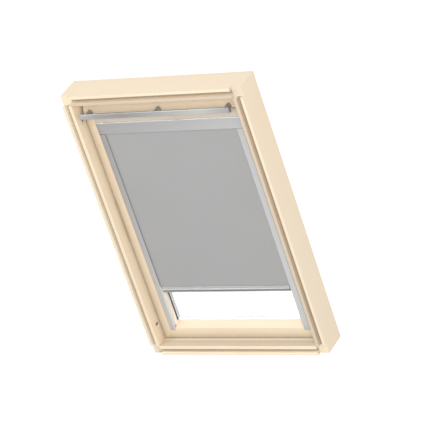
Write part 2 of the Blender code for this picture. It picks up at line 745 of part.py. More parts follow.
def make_control_bar():
    """Aluminium pull bar across the window, on three dark arms fixed to the flap."""
    y0, y1 = BAR_FRONT_Y, BAR_FRONT_Y + BAR_D
    middle = FLAP_AXIS_Z + BAR_ABOVE_PIVOT
    z0, z1 = middle - BAR_H / 2, middle + BAR_H / 2
    r = BAR_ROUND
    outline = arc((y1 - r, z0 + r), r, -90, 0, 4)
    outline += arc((y1 - r, z1 - r), r, 0, 90, 4)
    outline += arc((y0 + r, z1 - r), r, 90, 180, 4)
    outline += arc((y0 + r, z0 + r), r, 180, 270, 4)
    inner_end = BAR_HALF_W - BAR_CAP_T - PIECE_GAP
    bar = extruded(outline, "X", -inner_end, inner_end)
    shade_round(add_piece("control_bar", bar, BAR_METAL, FLAP_AXIS))
    for side, s in SIDES:
        cap = extruded(outline, "X", s * (inner_end + PIECE_GAP), s * BAR_HALF_W)
        shade_round(add_piece(f"bar_cap_{side}", cap, DARK_PLASTIC, FLAP_AXIS))

    arm_outline = arm_shape(y1 + PIECE_GAP, middle)
    arm_x = BAR_HALF_W - ARM_INSET
    for name, x in (("left", -arm_x), ("centre", 0), ("right", arm_x)):
        arm = extruded(arm_outline, "X", x - ARM_T / 2, x + ARM_T / 2)
        add_piece(f"control_arm_{name}", arm, DARK_PLASTIC, FLAP_AXIS)


def arm_shape(front, middle):
    """Side outline of an arm: up from the bar, back over a rounded corner, down to its foot."""
    top = middle + ARM_RISE
    corner_y = front + ARM_REACH
    round_r = ARM_ROUND
    foot_r = FLAP_NOSE_R + PIECE_GAP
    foot_half = math.degrees(math.asin(ARM_FOOT_H / 2 / foot_r))
    foot = arc((FLAP_NOSE_Y, FLAP_AXIS_Z), foot_r, 180 + foot_half, 180 - foot_half, 6)
    outline = [(front, middle - ARM_ROOT_HALF)]
    outline += [(corner_y - round_r, foot[0][1])]
    outline += foot
    outline += arc((corner_y - round_r, top - round_r), round_r, 0, 90, 6)
    outline += [(front + ARM_SLOPE_L, top - ARM_SLOPE_DROP), (front, middle + ARM_ROOT_HALF)]
    return outline


def make_lock(top_rail):
    """Lock case in the top rail with a tongue that the control bar draws down, and its striker."""
    gap = PIECE_GAP
    y0, y1 = UPSTAND_Y + gap, UPSTAND_Y + LOCK_D
    mid_y = (y0 + y1) / 2
    z0, z1 = SASH_TOP - LOCK_H, SASH_TOP - gap
    half = LOCK_W / 2
    for target in (top_rail, bpy.data.objects["weather_seal"]):
        pocket = block(
            -half - gap, half + gap, y0 - CUT_MARGIN, y1 + gap, z0 - gap, SASH_TOP + CUT_MARGIN
        )
        cut(target, pocket, f"lock_pocket_{target.name}")
    case = add_piece("lock_case", block(-half, half, y0, y1, z0, z1), STEEL, SASH_AXIS)
    tongue_x, tongue_y = TONGUE_W / 2, TONGUE_D / 2
    tongue_top = SASH_TOP + TONGUE_STAND
    tongue_low = tongue_top - TONGUE_H
    slot = block(
        -tongue_x - SLIDE_CLEARANCE,
        tongue_x + SLIDE_CLEARANCE,
        mid_y - tongue_y - SLIDE_CLEARANCE,
        mid_y + tongue_y + SLIDE_CLEARANCE,
        tongue_low - TONGUE_TRAVEL - gap,
        SASH_TOP + CUT_MARGIN,
    )
    cut(case, slot, "lock_slot")
    nose = TONGUE_CHAMFER
    outline = [
        (mid_y - tongue_y, tongue_low),
        (mid_y + tongue_y, tongue_low),
        (mid_y + tongue_y, tongue_top),
        (mid_y - tongue_y + nose, tongue_top),
        (mid_y - tongue_y, tongue_top - nose),
    ]
    tongue = extruded(outline, "X", -tongue_x, tongue_x)
    add_piece("lock_tongue", tongue, STEEL, TONGUE_AXIS)

    y0, y1 = mid_y - STRIKER_D / 2, mid_y + STRIKER_D / 2
    half = STRIKER_W / 2
    striker = block(-half, half, y0, y1, HEAD_LOW, HEAD_LOW + STRIKER_T)
    striker = add_piece("striker_plate", striker, STEEL)
    head = bpy.data.objects["frame_head"]
    recess = block(
        -half - gap, half + gap, y0 - gap, y1 + gap, HEAD_LOW - CUT_MARGIN, HEAD_LOW + STRIKER_T + gap
    )
    cut(head, recess, "striker_recess")
    for target, grow, name in ((striker, 0, "striker_opening"), (head, gap, "striker_pocket")):
        wide = tongue_x + STRIKER_SIDE_CLEARANCE + grow
        deep = tongue_y + STRIKER_DEPTH_CLEARANCE + grow
        opening = block(
            -wide, wide, mid_y - deep, mid_y + deep, HEAD_LOW - CUT_MARGIN, HEAD_LOW + STRIKER_POCKET
        )
        cut(target, opening, name)


def make_bolt():
    """Barrel bolt in the left stile, and the jamb's bores and bushes that it slides into."""
    gap = PIECE_GAP
    axis = (BOLT_Y, BOLT_Z)
    bolt_end = SASH_X - gap
    profile = [
        (0, bolt_end - BOLT_L),
        (BOLT_R, bolt_end - BOLT_L),
        (BOLT_R, bolt_end - BOLT_CHAMFER),
        (BOLT_R - BOLT_CHAMFER, bolt_end),
        (0, bolt_end),
    ]
    bolt = add_piece("barrel_bolt", turned(profile, axis, -1), STEEL, BOLT_AXIS)
    knob_x = -(bolt_end - BOLT_L + BOLT_KNOB_INSET)
    knob = extruded(
        circle((knob_x, BOLT_Z), BOLT_KNOB_R, SMALL_ROUND_STEPS),
        "Y",
        SASH_FACE_Y - BOLT_KNOB_STAND,
        BOLT_Y,
    )
    join(bolt, knob, "bolt_knob")
    stile = bpy.data.objects["sash_stile_left"]
    inner_x = bolt_end - BOLT_L - gap
    bore = extruded(circle(axis, BOLT_R + PIN_CLEARANCE), "X", -inner_x, -(SASH_X + CUT_MARGIN))
    cut(stile, bore, "bolt_bore")
    slot_r = BOLT_KNOB_R + SLIDE_CLEARANCE
    slot = arc((knob_x, BOLT_Z), slot_r, 90, -90, 8)
    slot += arc((knob_x - BOLT_TRAVEL, BOLT_Z), slot_r, -90, -270, 8)
    cut(stile, extruded(slot, "Y", SASH_FACE_Y - CUT_MARGIN, BOLT_Y), "bolt_slot")

    jamb = bpy.data.objects["frame_jamb_left"]
    hole_r = BOLT_R + SLIDE_CLEARANCE
    bore_end = IN_X + BOLT_TRAVEL + gap
    shut = extruded(circle(axis, hole_r), "X", -SASH_X, -bore_end)
    cut(jamb, shut, "bolt_shut_bore")
    slot_y = BUSH_SLOT_L / 2
    for name, angle, height, lead, half_slot in (
        ("upper", VENT_ANGLE, UPPER_BUSH_H, UPPER_BUSH_LEAD, 0),
        ("lower", CLEAN_ANGLE, LOWER_BUSH_H, 0, slot_y),
    ):
        y, z = swung(BOLT_Y, BOLT_Z, angle)
        y0, y1 = y - BUSH_W / 2 + lead, y + BUSH_W / 2 + lead
        z0, z1 = z - height / 2, z + height / 2
        plate = extruded(rectangle(y0, y1, z0, z1), "X", -IN_X, -(IN_X + BUSH_T))
        bush = add_piece(f"bolt_bush_{name}", plate, GREY_PLASTIC)
        recess = extruded(
            rectangle(y0 - gap, y1 + gap, z0 - gap, z1 + gap), "X", -SASH_X, -(IN_X + BUSH_T + gap)
        )
        cut(jamb, recess, f"bush_recess_{name}")
        opening = arc((y - half_slot, z), hole_r, 90, 270, 10)
        opening += arc((y + half_slot, z), hole_r, -90, 90, 10)
        for target in (bush, jamb):
            hole = extruded(opening, "X", -SASH_X, -bore_end)
            cut(target, hole, f"{target.name}_{name}_hole")
        if lead:
            screw = extruded(
                circle((y - BUSH_SCREW_SIDE, z - BUSH_SCREW_DROP), BUSH_SCREW_R, SMALL_ROUND_STEPS),
                "X",
                -SASH_X,
                -OUT_X,
            )
            cut(bush, screw, f"bush_screw_{name}")


def make_blind_case():
    """Folded aluminium casing with a cap in each end that carries the roller."""
    path = [
        (CASING_FRONT_Y + CASING_FRONT_LIP, CASING_LOW),
        (CASING_FRONT_Y, CASING_LOW),
        (CASING_FRONT_Y, CASING_TOP),
        (CASING_BACK_Y, CASING_TOP),
        (CASING_BACK_Y, CASING_TOP - CASING_BACK_LIP),
    ]
    outline = folded_sheet(path, SHEET_T)
    add_piece("blind_casing", extruded(outline, "X", -RAIL_OUT_X, RAIL_OUT_X), SILVER, SASH_AXIS)
    gap = PIECE_GAP
    inside = SHEET_T + gap
    front, back = CASING_FRONT_Y + inside, CASING_BACK_Y - inside
    low, high = CASING_LOW + inside, CASING_TOP - inside
    outer_x = RAIL_OUT_X - gap
    for side, s in SIDES:
        body = extruded(
            rectangle(front, back, low, high), "X", s * (outer_x - CASING_CAP_T), s * outer_x
        )
        cap = add_piece(f"casing_cap_{side}", body, GREY_PLASTIC, SASH_AXIS)
        hole = extruded(
            circle((ROLLER_Y, ROLLER_Z), ROLLER_PIN_R + PIN_CLEARANCE, SMALL_ROUND_STEPS),
            "X",
            s * SIGHT_X,
            s * SASH_X,
        )
        cut(cap, hole, f"casing_cap_hole_{side}")


def make_blind_rails():
    """Side channels that guide the cloth, with a plastic stop in the foot of each."""
    path = [
        (RAIL_IN_X, RAIL_FRONT_Y + RAIL_EDGE_D),
        (RAIL_IN_X, RAIL_FRONT_Y),
        (RAIL_OUT_X, RAIL_FRONT_Y),
        (RAIL_OUT_X, RAIL_BACK_Y),
        (RAIL_IN_X + RAIL_BACK_SETBACK, RAIL_BACK_Y),
    ]
    section = [(-x, y) for x, y in folded_sheet([(-x, y) for x, y in path], SHEET_T)]
    gap = PIECE_GAP
    inside = SHEET_T + gap
    for side, s in SIDES:
        outline = [(s * x, y) for x, y in section]
        body = extruded(outline, "Z", RAIL_LOW, CASING_LOW - gap)
        add_piece(f"blind_rail_{side}", body, SILVER, SASH_AXIS)
        xs = sorted((s * (RAIL_IN_X + inside), s * (RAIL_OUT_X - inside)))
        stop = block(
            *xs,
            RAIL_FRONT_Y + inside,
            RAIL_BACK_Y - inside,
            RAIL_LOW + gap,
            RAIL_LOW + RAIL_STOP_H,
        )
        add_piece(f"rail_stop_{side}", stop, GREY_PLASTIC, SASH_AXIS)


def make_roller():
    """Roller tube with the wound cloth on it and an end plug with a pin at each end."""
    axis = (ROLLER_Y, ROLLER_Z)
    cloth_half = RAIL_OUT_X - CLOTH_EDGE_CLEARANCE - 2 * PIECE_GAP
    tube_half = RAIL_OUT_X - 2 * PIECE_GAP - CASING_CAP_T - ROLLER_END_ROOM
    bore_r = ROLLER_R - SHEET_T
    tube = [(bore_r, -tube_half), (ROLLER_R, -tube_half), (ROLLER_R, tube_half)]
    tube += [(bore_r, tube_half), (bore_r, -tube_half)]
    shade_round(add_piece("roller_tube", closed_turn(tube, axis), SILVER, ROLLER_AXIS))
    inner_r = ROLLER_R + PIECE_GAP
    wound = [(inner_r, -cloth_half), (ROLL_R, -cloth_half), (ROLL_R, cloth_half)]
    wound += [(inner_r, cloth_half), (inner_r, -cloth_half)]
    shade_round(add_piece("wound_cloth", closed_turn(wound, axis), CLOTH, ROLLER_AXIS))
    flange = tube_half + PIECE_GAP
    plug_end = flange + ROLLER_END_ROOM + CASING_CAP_T - PIECE_GAP
    for side, s in SIDES:
        profile = [
            (0, tube_half - ROLLER_PLUG_GRIP),
            (bore_r - PIECE_GAP, tube_half - ROLLER_PLUG_GRIP),
            (bore_r - PIECE_GAP, flange),
            (ROLLER_R, flange),
            (ROLLER_R, flange + ROLLER_FLANGE_T),
            (ROLLER_PIN_R, flange + ROLLER_FLANGE_T),
            (ROLLER_PIN_R, plug_end),
            (0, plug_end),
        ]
        plug = turned(profile, axis, s)
        shade_round(add_piece(f"roller_plug_{side}", plug, GREY_PLASTIC, ROLLER_AXIS))


def closed_turn(loop, axis):
    """Spin a closed loop of (radius, x) points into a hollow tube."""
    bm = turned(loop, axis)
    bmesh.ops.remove_doubles(bm, verts=bm.verts, dist=WELD_DISTANCE)
    return bm


def make_cloth_and_drop_bar():
    """The let-down cloth, its bottom bar with a pull ridge, and the glides in the rails."""
    gap = PIECE_GAP
    cloth_back = CLOTH_Y - gap
    half = RAIL_OUT_X - CLOTH_EDGE_CLEARANCE - 2 * gap
    top = ROLLER_Z - CLOTH_TOP_DROP
    cloth = block(-half, half, cloth_back - CLOTH_T, cloth_back, DROP_BAR_TOP + gap, top)
    add_piece("blind_cloth", cloth, CLOTH, SASH_AXIS)

    front, back = CLOTH_Y - DROP_BAR_T / 2, CLOTH_Y + DROP_BAR_T / 2
    ridge_y = front - DROP_BAR_LIP_STAND
    ridge_low = DROP_BAR_LOW + DROP_BAR_LIP_Z
    ridge_top = ridge_low + DROP_BAR_LIP_H
    nose_r = DROP_BAR_LIP_H / 2
    foot_top = DROP_BAR_LOW + DROP_BAR_FOOT_H
    foot_y = front - DROP_BAR_FOOT_STAND
    outline = [(back, DROP_BAR_LOW), (back, DROP_BAR_TOP), (front, DROP_BAR_TOP)]
    outline += [(front, ridge_top)]
    outline += arc((ridge_y + nose_r, ridge_top - nose_r), nose_r, 90, 270, 8)
    outline += [(front - DROP_BAR_LIP_SLOPE, ridge_low - nose_r)]
    outline += [(front, foot_top + nose_r), (foot_y, foot_top), (foot_y, DROP_BAR_LOW)]
    bar_half = RAIL_IN_X - DROP_BAR_SIDE_GAP
    bar = extruded(outline, "X", -bar_half, bar_half)
    add_piece("drop_bar", bar, SILVER, DROP_AXIS)
    glide_z = DROP_BAR_LOW + (DROP_BAR_H - GLIDE_H) / 2
    glide_front = RAIL_FRONT_Y + RAIL_EDGE_D + SLIDE_CLEARANCE
    glide_back = RAIL_BACK_Y - SHEET_T - SLIDE_CLEARANCE
    for side, s in SIDES:
        xs = sorted((s * (bar_half + gap), s * (RAIL_OUT_X - SHEET_T - SLIDE_CLEARANCE)))
        glide = block(*xs, glide_front, glide_back, glide_z, glide_z + GLIDE_H)
        add_piece(f"drop_bar_glide_{side}", glide, GREY_PLASTIC, DROP_AXIS)


make_frame_members()
make_frame_covers()
make_sash_stiles()
top_rail = make_sash_rails()
make_glazing()
make_sash_covers()
make_weather_seal()
make_pivots()
make_flap()
make_control_bar()
make_lock(top_rail)
make_bolt()
make_blind_case()
make_blind_rails()
make_roller()
make_cloth_and_drop_bar()
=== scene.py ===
"""Finish of a pine roof window with a blackout roller blind, seen from the room."""

import json
import math

import bmesh
import bpy
from mathutils import Matrix, Vector


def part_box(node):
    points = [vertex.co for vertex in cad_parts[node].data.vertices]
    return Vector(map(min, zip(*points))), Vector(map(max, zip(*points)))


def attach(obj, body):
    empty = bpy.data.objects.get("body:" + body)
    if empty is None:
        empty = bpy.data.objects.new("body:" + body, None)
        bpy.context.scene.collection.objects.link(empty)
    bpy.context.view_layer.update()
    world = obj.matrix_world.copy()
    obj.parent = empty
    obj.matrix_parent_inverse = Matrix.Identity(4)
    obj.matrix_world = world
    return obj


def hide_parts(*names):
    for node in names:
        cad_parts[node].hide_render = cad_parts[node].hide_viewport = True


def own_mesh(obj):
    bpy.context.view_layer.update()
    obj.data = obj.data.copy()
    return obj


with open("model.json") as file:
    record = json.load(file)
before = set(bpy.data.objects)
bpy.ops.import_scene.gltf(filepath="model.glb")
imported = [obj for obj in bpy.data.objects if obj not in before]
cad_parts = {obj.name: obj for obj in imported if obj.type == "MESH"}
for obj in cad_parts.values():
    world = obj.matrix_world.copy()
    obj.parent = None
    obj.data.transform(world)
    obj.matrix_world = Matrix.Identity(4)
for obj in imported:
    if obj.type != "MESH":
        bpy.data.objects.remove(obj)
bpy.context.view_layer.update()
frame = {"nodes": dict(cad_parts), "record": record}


# The frame is four pine boards, planed, eased along their edges and lacquered.
# The head and the sill fit between the jambs, and a groove for the lining runs round the room side.
PINE_EASE = 0.0012
PINE_PALE = (0.905, 0.762, 0.572)
PINE_LATE = (0.800, 0.640, 0.445)
PINE_ROSY = (1.0, 0.955, 0.93)
# The grey toward which painted shade darkens the wood near the joint between the frame and the sash.
JOINT_SHADE_PINE = (0.64, 0.64, 0.63)
RING_SPACING, RING_STRENGTH = 0.0042, 0.16
RING_SWAY, RING_RIPPLE = 0.018, 0.0022
GRAIN = {
    "sway": ((1.6, 7.0, 7.0), 2.0),
    "ripple": ((9.0, 60.0, 60.0), 3.0),
    "fibre": ((45.0, 2600.0, 2600.0), 2.0),
    "streak": ((4.0, 260.0, 260.0), 2.0),
    "tint": ((2.2, 9.0, 9.0), 1.0),
}
PINE_SHINE = {"Specular IOR Level": 0.35, "Coat Weight": 0.12, "Coat Roughness": 0.35}
# Painted light and shade on the frame's faces: a negative tint darkens a face with painted shade, a
# positive one pales it with painted light.
GROOVE_FLOOR_PAINTED_SHADE = (-0.50, -0.50, -0.50)
OUTER_WALL_PAINTED_LIGHT = (0.09, 0.19, 0.30)
JAMB_WALL_PAINTED_SHADE = (-0.26, -0.24, -0.19)
HEAD_WALL_PAINTED_SHADE = (-0.12, -0.10, -0.05)
JAMB_BORE_PAINTED_SHADE = (-0.72, -0.74, -0.76)
SILL_PAINTED_SHADE = (-0.21, -0.19, -0.15)
SILL_BACK_PAINTED_LIGHT = (0.12, 0.21, 0.30)
SILL_ROUND_PAINTED_LIGHT = (0.14, 0.14, 0.13)
LIP_PAINTED_SHADE = (-0.27, -0.28, -0.27)
OUTER_EDGE_PAINTED_SHADE = (-0.10, -0.12, -0.14)
CORNER_PAINTED_SHADE = (-0.15, -0.13, -0.08)
LIP_END_PAINTED_SHADE = (-0.16, -0.14, -0.10)
HEAD_END_PAINTED_SHADE = (-0.32, -0.27, -0.18)
PLAIN = (0, 0, 0)
MEMBER_W = 0.041
OUTER_LIP, GROOVE_W = 0.011, 0.0165
GROOVE_Y = -0.048
GROOVE_DEEPER = {"jamb": 0.0085, "head": 0.0060, "sill": 0.0}
LIP_ROUND = 0.0042
LIP_FRONT_Y = -0.0615
GROOVE_SPAN_Y = (-0.0618, -0.035)
BORE_SPAN_X, BORE_SPAN_Y, BORE_SPAN_Z = (0.3505, 0.3885), (-0.047, 0.04), (0.06, 1.12)
HEAD_ABOVE_Z, SILL_BELOW_Z, RIGHT_BEYOND_X = 1.1, 0.02, 0.3
CORNER_SPAN_Y, ROOM_FACE_Y = (-0.0645, -0.045), -0.063
JAMB_FROM_X, HEAD_HALF_LENGTH = 0.36, 0.349
SILL_STEP_Y = -0.0225
JOINT_HALF_WIDTH = 0.348
JOINT_LOW, JOINT_HIGH = 0.0425, 1.075
JOINT_Y = -0.004
JOINT_REACH = 0.05
JAMB_PITH_X, JAMB_PITH_Y = 0.30, 0.16
END_PITHS = {"head": (0.2, 0.14, 1.235), "sill": (-0.3, 0.15, -0.06)}
TURN_TO = {"X": (0, 0, 0), "Z": (0, math.pi / 2, 0)}
LOOK = {"Color": "Color", "Roughness": "Float", "Height": "Float"}
BODY_OF = {
    node: body
    for body, nodes in frame["record"]["behaviour"]["bodies"].items()
    for node in nodes
}
frame_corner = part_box("frame_jamb_right")[1]
frame_half_x, frame_half_z = frame_corner.x, frame_corner.z / 2
frame_mid_z = frame_half_z


def add_node(tree, kind, inputs=None, **settings):
    """Add a node to a tree, with its settings, and fill its inputs with values or sockets."""
    node = tree.nodes.new(kind)
    for key, value in settings.items():
        setattr(node, key, value)
    for key, value in (inputs or {}).items():
        if isinstance(value, bpy.types.NodeSocket):
            tree.links.new(value, node.inputs[key])
        else:
            node.inputs[key].default_value = value
    return node


def first_of(tree, kind, inputs=None, **settings):
    """Add a node to a tree and give its first output."""
    return add_node(tree, kind, inputs, **settings).outputs[0]


def calculator(tree):
    """A short way to add math nodes to one tree, which gives each one's result."""

    def calculate(operation, *values, **settings):
        inputs = dict(enumerate(values))
        return first_of(tree, "ShaderNodeMath", inputs, operation=operation, **settings)

    return calculate


def open_group(name, kind, takes, gives):
    """Start a node group, with inputs by number, colour or socket type and outputs by socket type."""
    group = bpy.data.node_groups.new(name, kind)
    for label, value in takes.items():
        socket = {float: "Float", tuple: "Color"}.get(type(value), value)
        made = group.interface.new_socket(label, in_out="INPUT", socket_type="NodeSocket" + socket)
        if socket != value:
            made.default_value = value
    for label, socket in gives.items():
        group.interface.new_socket(label, in_out="OUTPUT", socket_type="NodeSocket" + socket)
    return group, group.nodes.new("NodeGroupInput").outputs, group.nodes.new("NodeGroupOutput")


def give(group, result, **found):
    """Join what a group has worked out to its outputs."""
    for label, socket in found.items():
        group.links.new(socket, result.inputs[label])
    return group


def noise(tree, place, scale, detail):
    """Soft noise, with one scale for all directions or one for each."""
    if isinstance(scale, tuple):
        place = first_of(tree, "ShaderNodeVectorMath", {0: place, 1: scale}, operation="MULTIPLY")
        scale = 1.0
    return first_of(tree, "ShaderNodeTexNoise", {"Vector": place, "Scale": scale, "Detail": detail})


def laid_over(tree, share, under, over, **settings):
    """A share of one colour laid over another."""
    inputs = {0: share, 6: under, 7: over}
    return add_node(tree, "ShaderNodeMix", inputs, data_type="RGBA", **settings).outputs[2]


def make_joint_painted_shade():
    """How near a place is to the joint between the frame and the sash, where painted shade darkens the
    wood.
    """
    takes = {
        "Vector": "Vector",
        "Half Width": JOINT_HALF_WIDTH,
        "Middle": (JOINT_LOW + JOINT_HIGH) / 2,
        "Half Height": (JOINT_HIGH - JOINT_LOW) / 2,
        "Depth": JOINT_Y,
        "Reach": JOINT_REACH,
    }
    group, given, result = open_group("frame_joint_painted_shade", "ShaderNodeTree", takes, {"Fac": "Float"})
    calculate = calculator(group)
    place = add_node(group, "ShaderNodeSeparateXYZ", {0: given["Vector"]}).outputs
    wide = calculate("SUBTRACT", calculate("ABSOLUTE", place[0]), given["Half Width"])
    tall = calculate("ABSOLUTE", calculate("SUBTRACT", place[2], given["Middle"]))
    tall = calculate("SUBTRACT", tall, given["Half Height"])
    across = calculate("MAXIMUM", wide, tall)
    deep = calculate("MINIMUM", calculate("SUBTRACT", place[1], given["Depth"]), 0.0)
    far = calculate("SQRT", calculate("MULTIPLY_ADD", across, across, calculate("POWER", deep, 2.0)))
    near = calculate("SUBTRACT", 1.0, calculate("DIVIDE", far, given["Reach"]), use_clamp=True)
    uneven = calculate("MULTIPLY_ADD", noise(group, given["Vector"], 40.0, 2.0), 0.3, 0.85)
    amount = calculate("MULTIPLY", calculate("POWER", near, 2.0), uneven, use_clamp=True)
    return give(group, result, Fac=amount)


def make_pine_grain():
    """Growth rings round a pith line along X, with fine fibre and broad changes of tint, then painted
    light and shade and the joint's painted shade laid over.
    """
    takes = {
        "Vector": "Vector",
        "Pale Wood": (*PINE_PALE, 1),
        "Late Wood": (*PINE_LATE, 1),
        "Ring Spacing": RING_SPACING,
        "Ring Strength": RING_STRENGTH,
        "Tint": "Vector",
        "Joint Painted Shade": 0.0,
    }
    group, given, result = open_group("pine_grain", "ShaderNodeTree", takes, LOOK)
    calculate = calculator(group)
    sway, ripple, fibre, streak, tint = [
        noise(group, given["Vector"], scale, detail) for scale, detail in GRAIN.values()
    ]
    across = add_node(group, "ShaderNodeSeparateXYZ", {0: given["Vector"]}).outputs
    square = calculate("MULTIPLY_ADD", across[1], across[1], calculate("POWER", across[2], 2.0))
    radius = calculate("SQRT", square)
    radius = calculate("MULTIPLY_ADD", sway, RING_SWAY, radius)
    radius = calculate("MULTIPLY_ADD", ripple, RING_RIPPLE, radius)
    ring = calculate("FRACT", calculate("DIVIDE", radius, given["Ring Spacing"]))
    late = calculate("MULTIPLY", calculate("POWER", ring, 3.0), given["Ring Strength"])
    streaks = calculate("MULTIPLY", calculate("SUBTRACT", streak, 0.45), 0.25)
    share = calculate("ADD", late, streaks, use_clamp=True)
    wood = laid_over(group, share, given["Pale Wood"], given["Late Wood"])
    warm = first_of(group, "ShaderNodeMapRange", {0: tint, 1: 0.35, 2: 0.65, 3: 0.0, 4: 0.5})
    rosy = laid_over(group, warm, wood, (*PINE_ROSY, 1), blend_type="MULTIPLY")
    tinted = first_of(
        group, "ShaderNodeVectorMath", {0: rosy, 1: given["Tint"], 2: rosy}, operation="MULTIPLY_ADD"
    )
    wood_in_joint_shade = laid_over(group, given["Joint Painted Shade"], tinted, (*JOINT_SHADE_PINE, 1), blend_type="MULTIPLY")
    rough = calculate("MULTIPLY_ADD", fibre, 0.14, 0.36)
    height = calculate("MULTIPLY_ADD", fibre, 0.5, calculate("MULTIPLY", share, -0.6))
    return give(group, result, Color=wood_in_joint_shade, Roughness=rough, Height=height)


PINE_GRAIN = make_pine_grain()
JOINT_PAINTED_SHADE = make_joint_painted_shade()


def open_material(name, values):
    """Start a material with some of its shader's values, and give it with its tree and its shader."""
    made = bpy.data.materials.new(name)
    made.use_nodes = True
    shader = made.node_tree.nodes["Principled BSDF"]
    for label, value in values.items():
        shader.inputs[label].default_value = value
    return made, made.node_tree, shader


def wear(tree, shader, look, strength, distance):
    """Join the colour, roughness and relief of a look to a shader."""
    relief = {"Height": look.outputs["Height"], "Strength": strength, "Distance": distance}
    tree.links.new(look.outputs["Color"], shader.inputs["Base Color"])
    tree.links.new(look.outputs["Roughness"], shader.inputs["Roughness"])
    tree.links.new(first_of(tree, "ShaderNodeBump", relief), shader.inputs["Normal"])


def pine(name, along, pith):
    """Lacquered pine for one board: its grain runs along an axis, round a pith line of its own, with
    painted shade near the joint and painted light and shade read from its faces' tint.
    """
    made, tree, shader = open_material(name, PINE_SHINE)
    place = add_node(tree, "ShaderNodeTexCoord").outputs["Object"]
    shade_by_joint = first_of(tree, "ShaderNodeGroup", {"Vector": place}, node_tree=JOINT_PAINTED_SHADE)
    centred = first_of(tree, "ShaderNodeVectorMath", {0: place, 1: pith}, operation="SUBTRACT")
    turned = first_of(tree, "ShaderNodeMapping", {"Vector": centred, "Rotation": TURN_TO[along]})
    tint = add_node(tree, "ShaderNodeAttribute", attribute_name="tint").outputs["Vector"]
    inputs = {"Vector": turned, "Tint": tint, "Joint Painted Shade": shade_by_joint}
    grain = add_node(tree, "ShaderNodeGroup", inputs, node_tree=PINE_GRAIN)
    wear(tree, shader, grain, 0.35, 0.0002)
    return made


def solid_of(node):
    """A node's own shape with its doubles merged and its flat faces made whole."""
    bm = bmesh.new()
    bm.from_mesh(frame["nodes"][node].data)
    bmesh.ops.remove_doubles(bm, verts=bm.verts, dist=1e-5)
    bmesh.ops.dissolve_limit(bm, angle_limit=math.radians(0.5), verts=bm.verts, edges=bm.edges)
    return bm


def ease_edges(bm, radius, wanted=None, segments=3, shortest=0.004, sharper=30.0):
    """Round the outer edges that are long enough, and that the wanted test picks."""
    picked = []
    for edge in bm.edges:
        if len(edge.link_faces) != 2 or edge.calc_length() < shortest or not edge.is_convex:
            continue
        if edge.calc_face_angle() < math.radians(sharper):
            continue
        a, b = (v.co for v in edge.verts)
        if wanted is None or wanted(a, b):
            picked.append(edge)
    bmesh.ops.bevel(
        bm,
        geom=picked,
        offset=radius,
        offset_type="OFFSET",
        segments=segments,
        profile=0.5,
        affect="EDGES",
        clamp_overlap=True,
    )
    return bm


def cut_at(bm, axis, level):
    """Part a shape's faces along a plane, so that each side can carry painted light and shade of its own.
    """
    place = Vector((0, 0, 0))
    place[axis] = level
    facing = Vector((0, 0, 0))
    facing[axis] = 1
    whole = [*bm.faces, *bm.edges, *bm.verts]
    bmesh.ops.bisect_plane(bm, geom=whole, plane_co=place, plane_no=facing)


def in_scene(name, mesh):
    """A mesh, a lamp or a camera as an object in the scene."""
    piece = bpy.data.objects.new(name, mesh)
    bpy.context.scene.collection.objects.link(piece)
    return piece


def finished(bm, name, material, *nodes, body=None):
    """Make a piece of a shape, with its finish, the nodes it stands for and the body it rides on."""
    bmesh.ops.recalc_face_normals(bm, faces=bm.faces)
    mesh = bpy.data.meshes.new(name)
    bm.to_mesh(mesh)
    bm.free()
    mesh.materials.append(material)
    mesh.shade_smooth()
    mesh.set_sharp_from_angle(angle=math.radians(35.0))
    piece = in_scene(name, mesh)
    even = piece.modifiers.new("even shading", "WEIGHTED_NORMAL")
    even.keep_sharp = True
    if nodes:
        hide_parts(*nodes)
    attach(piece, body or BODY_OF[nodes[0]])
    return piece


def paint_light_and_shade_on_faces(piece, light_and_shade_of):
    """Paint light and shade on faces, paler or darker than plain lacquered wood, by each face's middle and
    normal.
    """
    painted_marks = piece.data.attributes.new("tint", "FLOAT_VECTOR", "FACE")
    for polygon in piece.data.polygons:
        painted_marks.data[polygon.index].vector = light_and_shade_of(polygon.center, polygon.normal)


def pine_board(shape, name, node, along, pith, light_and_shade_of=None):
    """A board in its own pine, with painted light and shade on its faces."""
    piece = finished(shape, name, pine(f"pine_{name.removesuffix('_board')}", along, pith), node)
    if light_and_shade_of:
        paint_light_and_shade_on_faces(piece, light_and_shade_of)


def clear_of_head(a, b):
    """True for a jamb's long edges and its outer ones, but not those against the head or sill."""
    return math.hypot(a.x - b.x, a.y - b.y) < 1e-5 or min(abs(a.x), abs(b.x)) > JAMB_FROM_X


def along_board(a, b):
    """True for an edge that runs across the window, along a head, sill or rail."""
    return math.hypot(a.y - b.y, a.z - b.z) < 1e-5


def across_groove(point):
    """Distance out to the frame's outer edge where a point is beside a lip, and none elsewhere."""
    if abs(point.z - frame_mid_z) < frame_half_z - MEMBER_W:
        return frame_half_x - abs(point.x)
    return frame_half_z - abs(point.z - frame_mid_z) if abs(point.x) < HEAD_HALF_LENGTH else 0.0


def within(span, value):
    """True between a span's two ends."""
    return span[0] < value < span[1]


def groove_painted_light_and_shade(centre, normal, out):
    """Painted shade darkens the lining groove's deep floor and its inner walls, and painted light pales
    its outer walls.
    """
    if normal.y < -0.9:
        in_deep_floor = centre.y > GROOVE_Y + 0.0005 or centre.z < MEMBER_W - 0.001
        return GROOVE_FLOOR_PAINTED_SHADE if in_deep_floor else PLAIN
    if out < OUTER_LIP + 0.003:
        return OUTER_WALL_PAINTED_LIGHT
    return HEAD_WALL_PAINTED_SHADE if centre.z > HEAD_ABOVE_Z else JAMB_WALL_PAINTED_SHADE


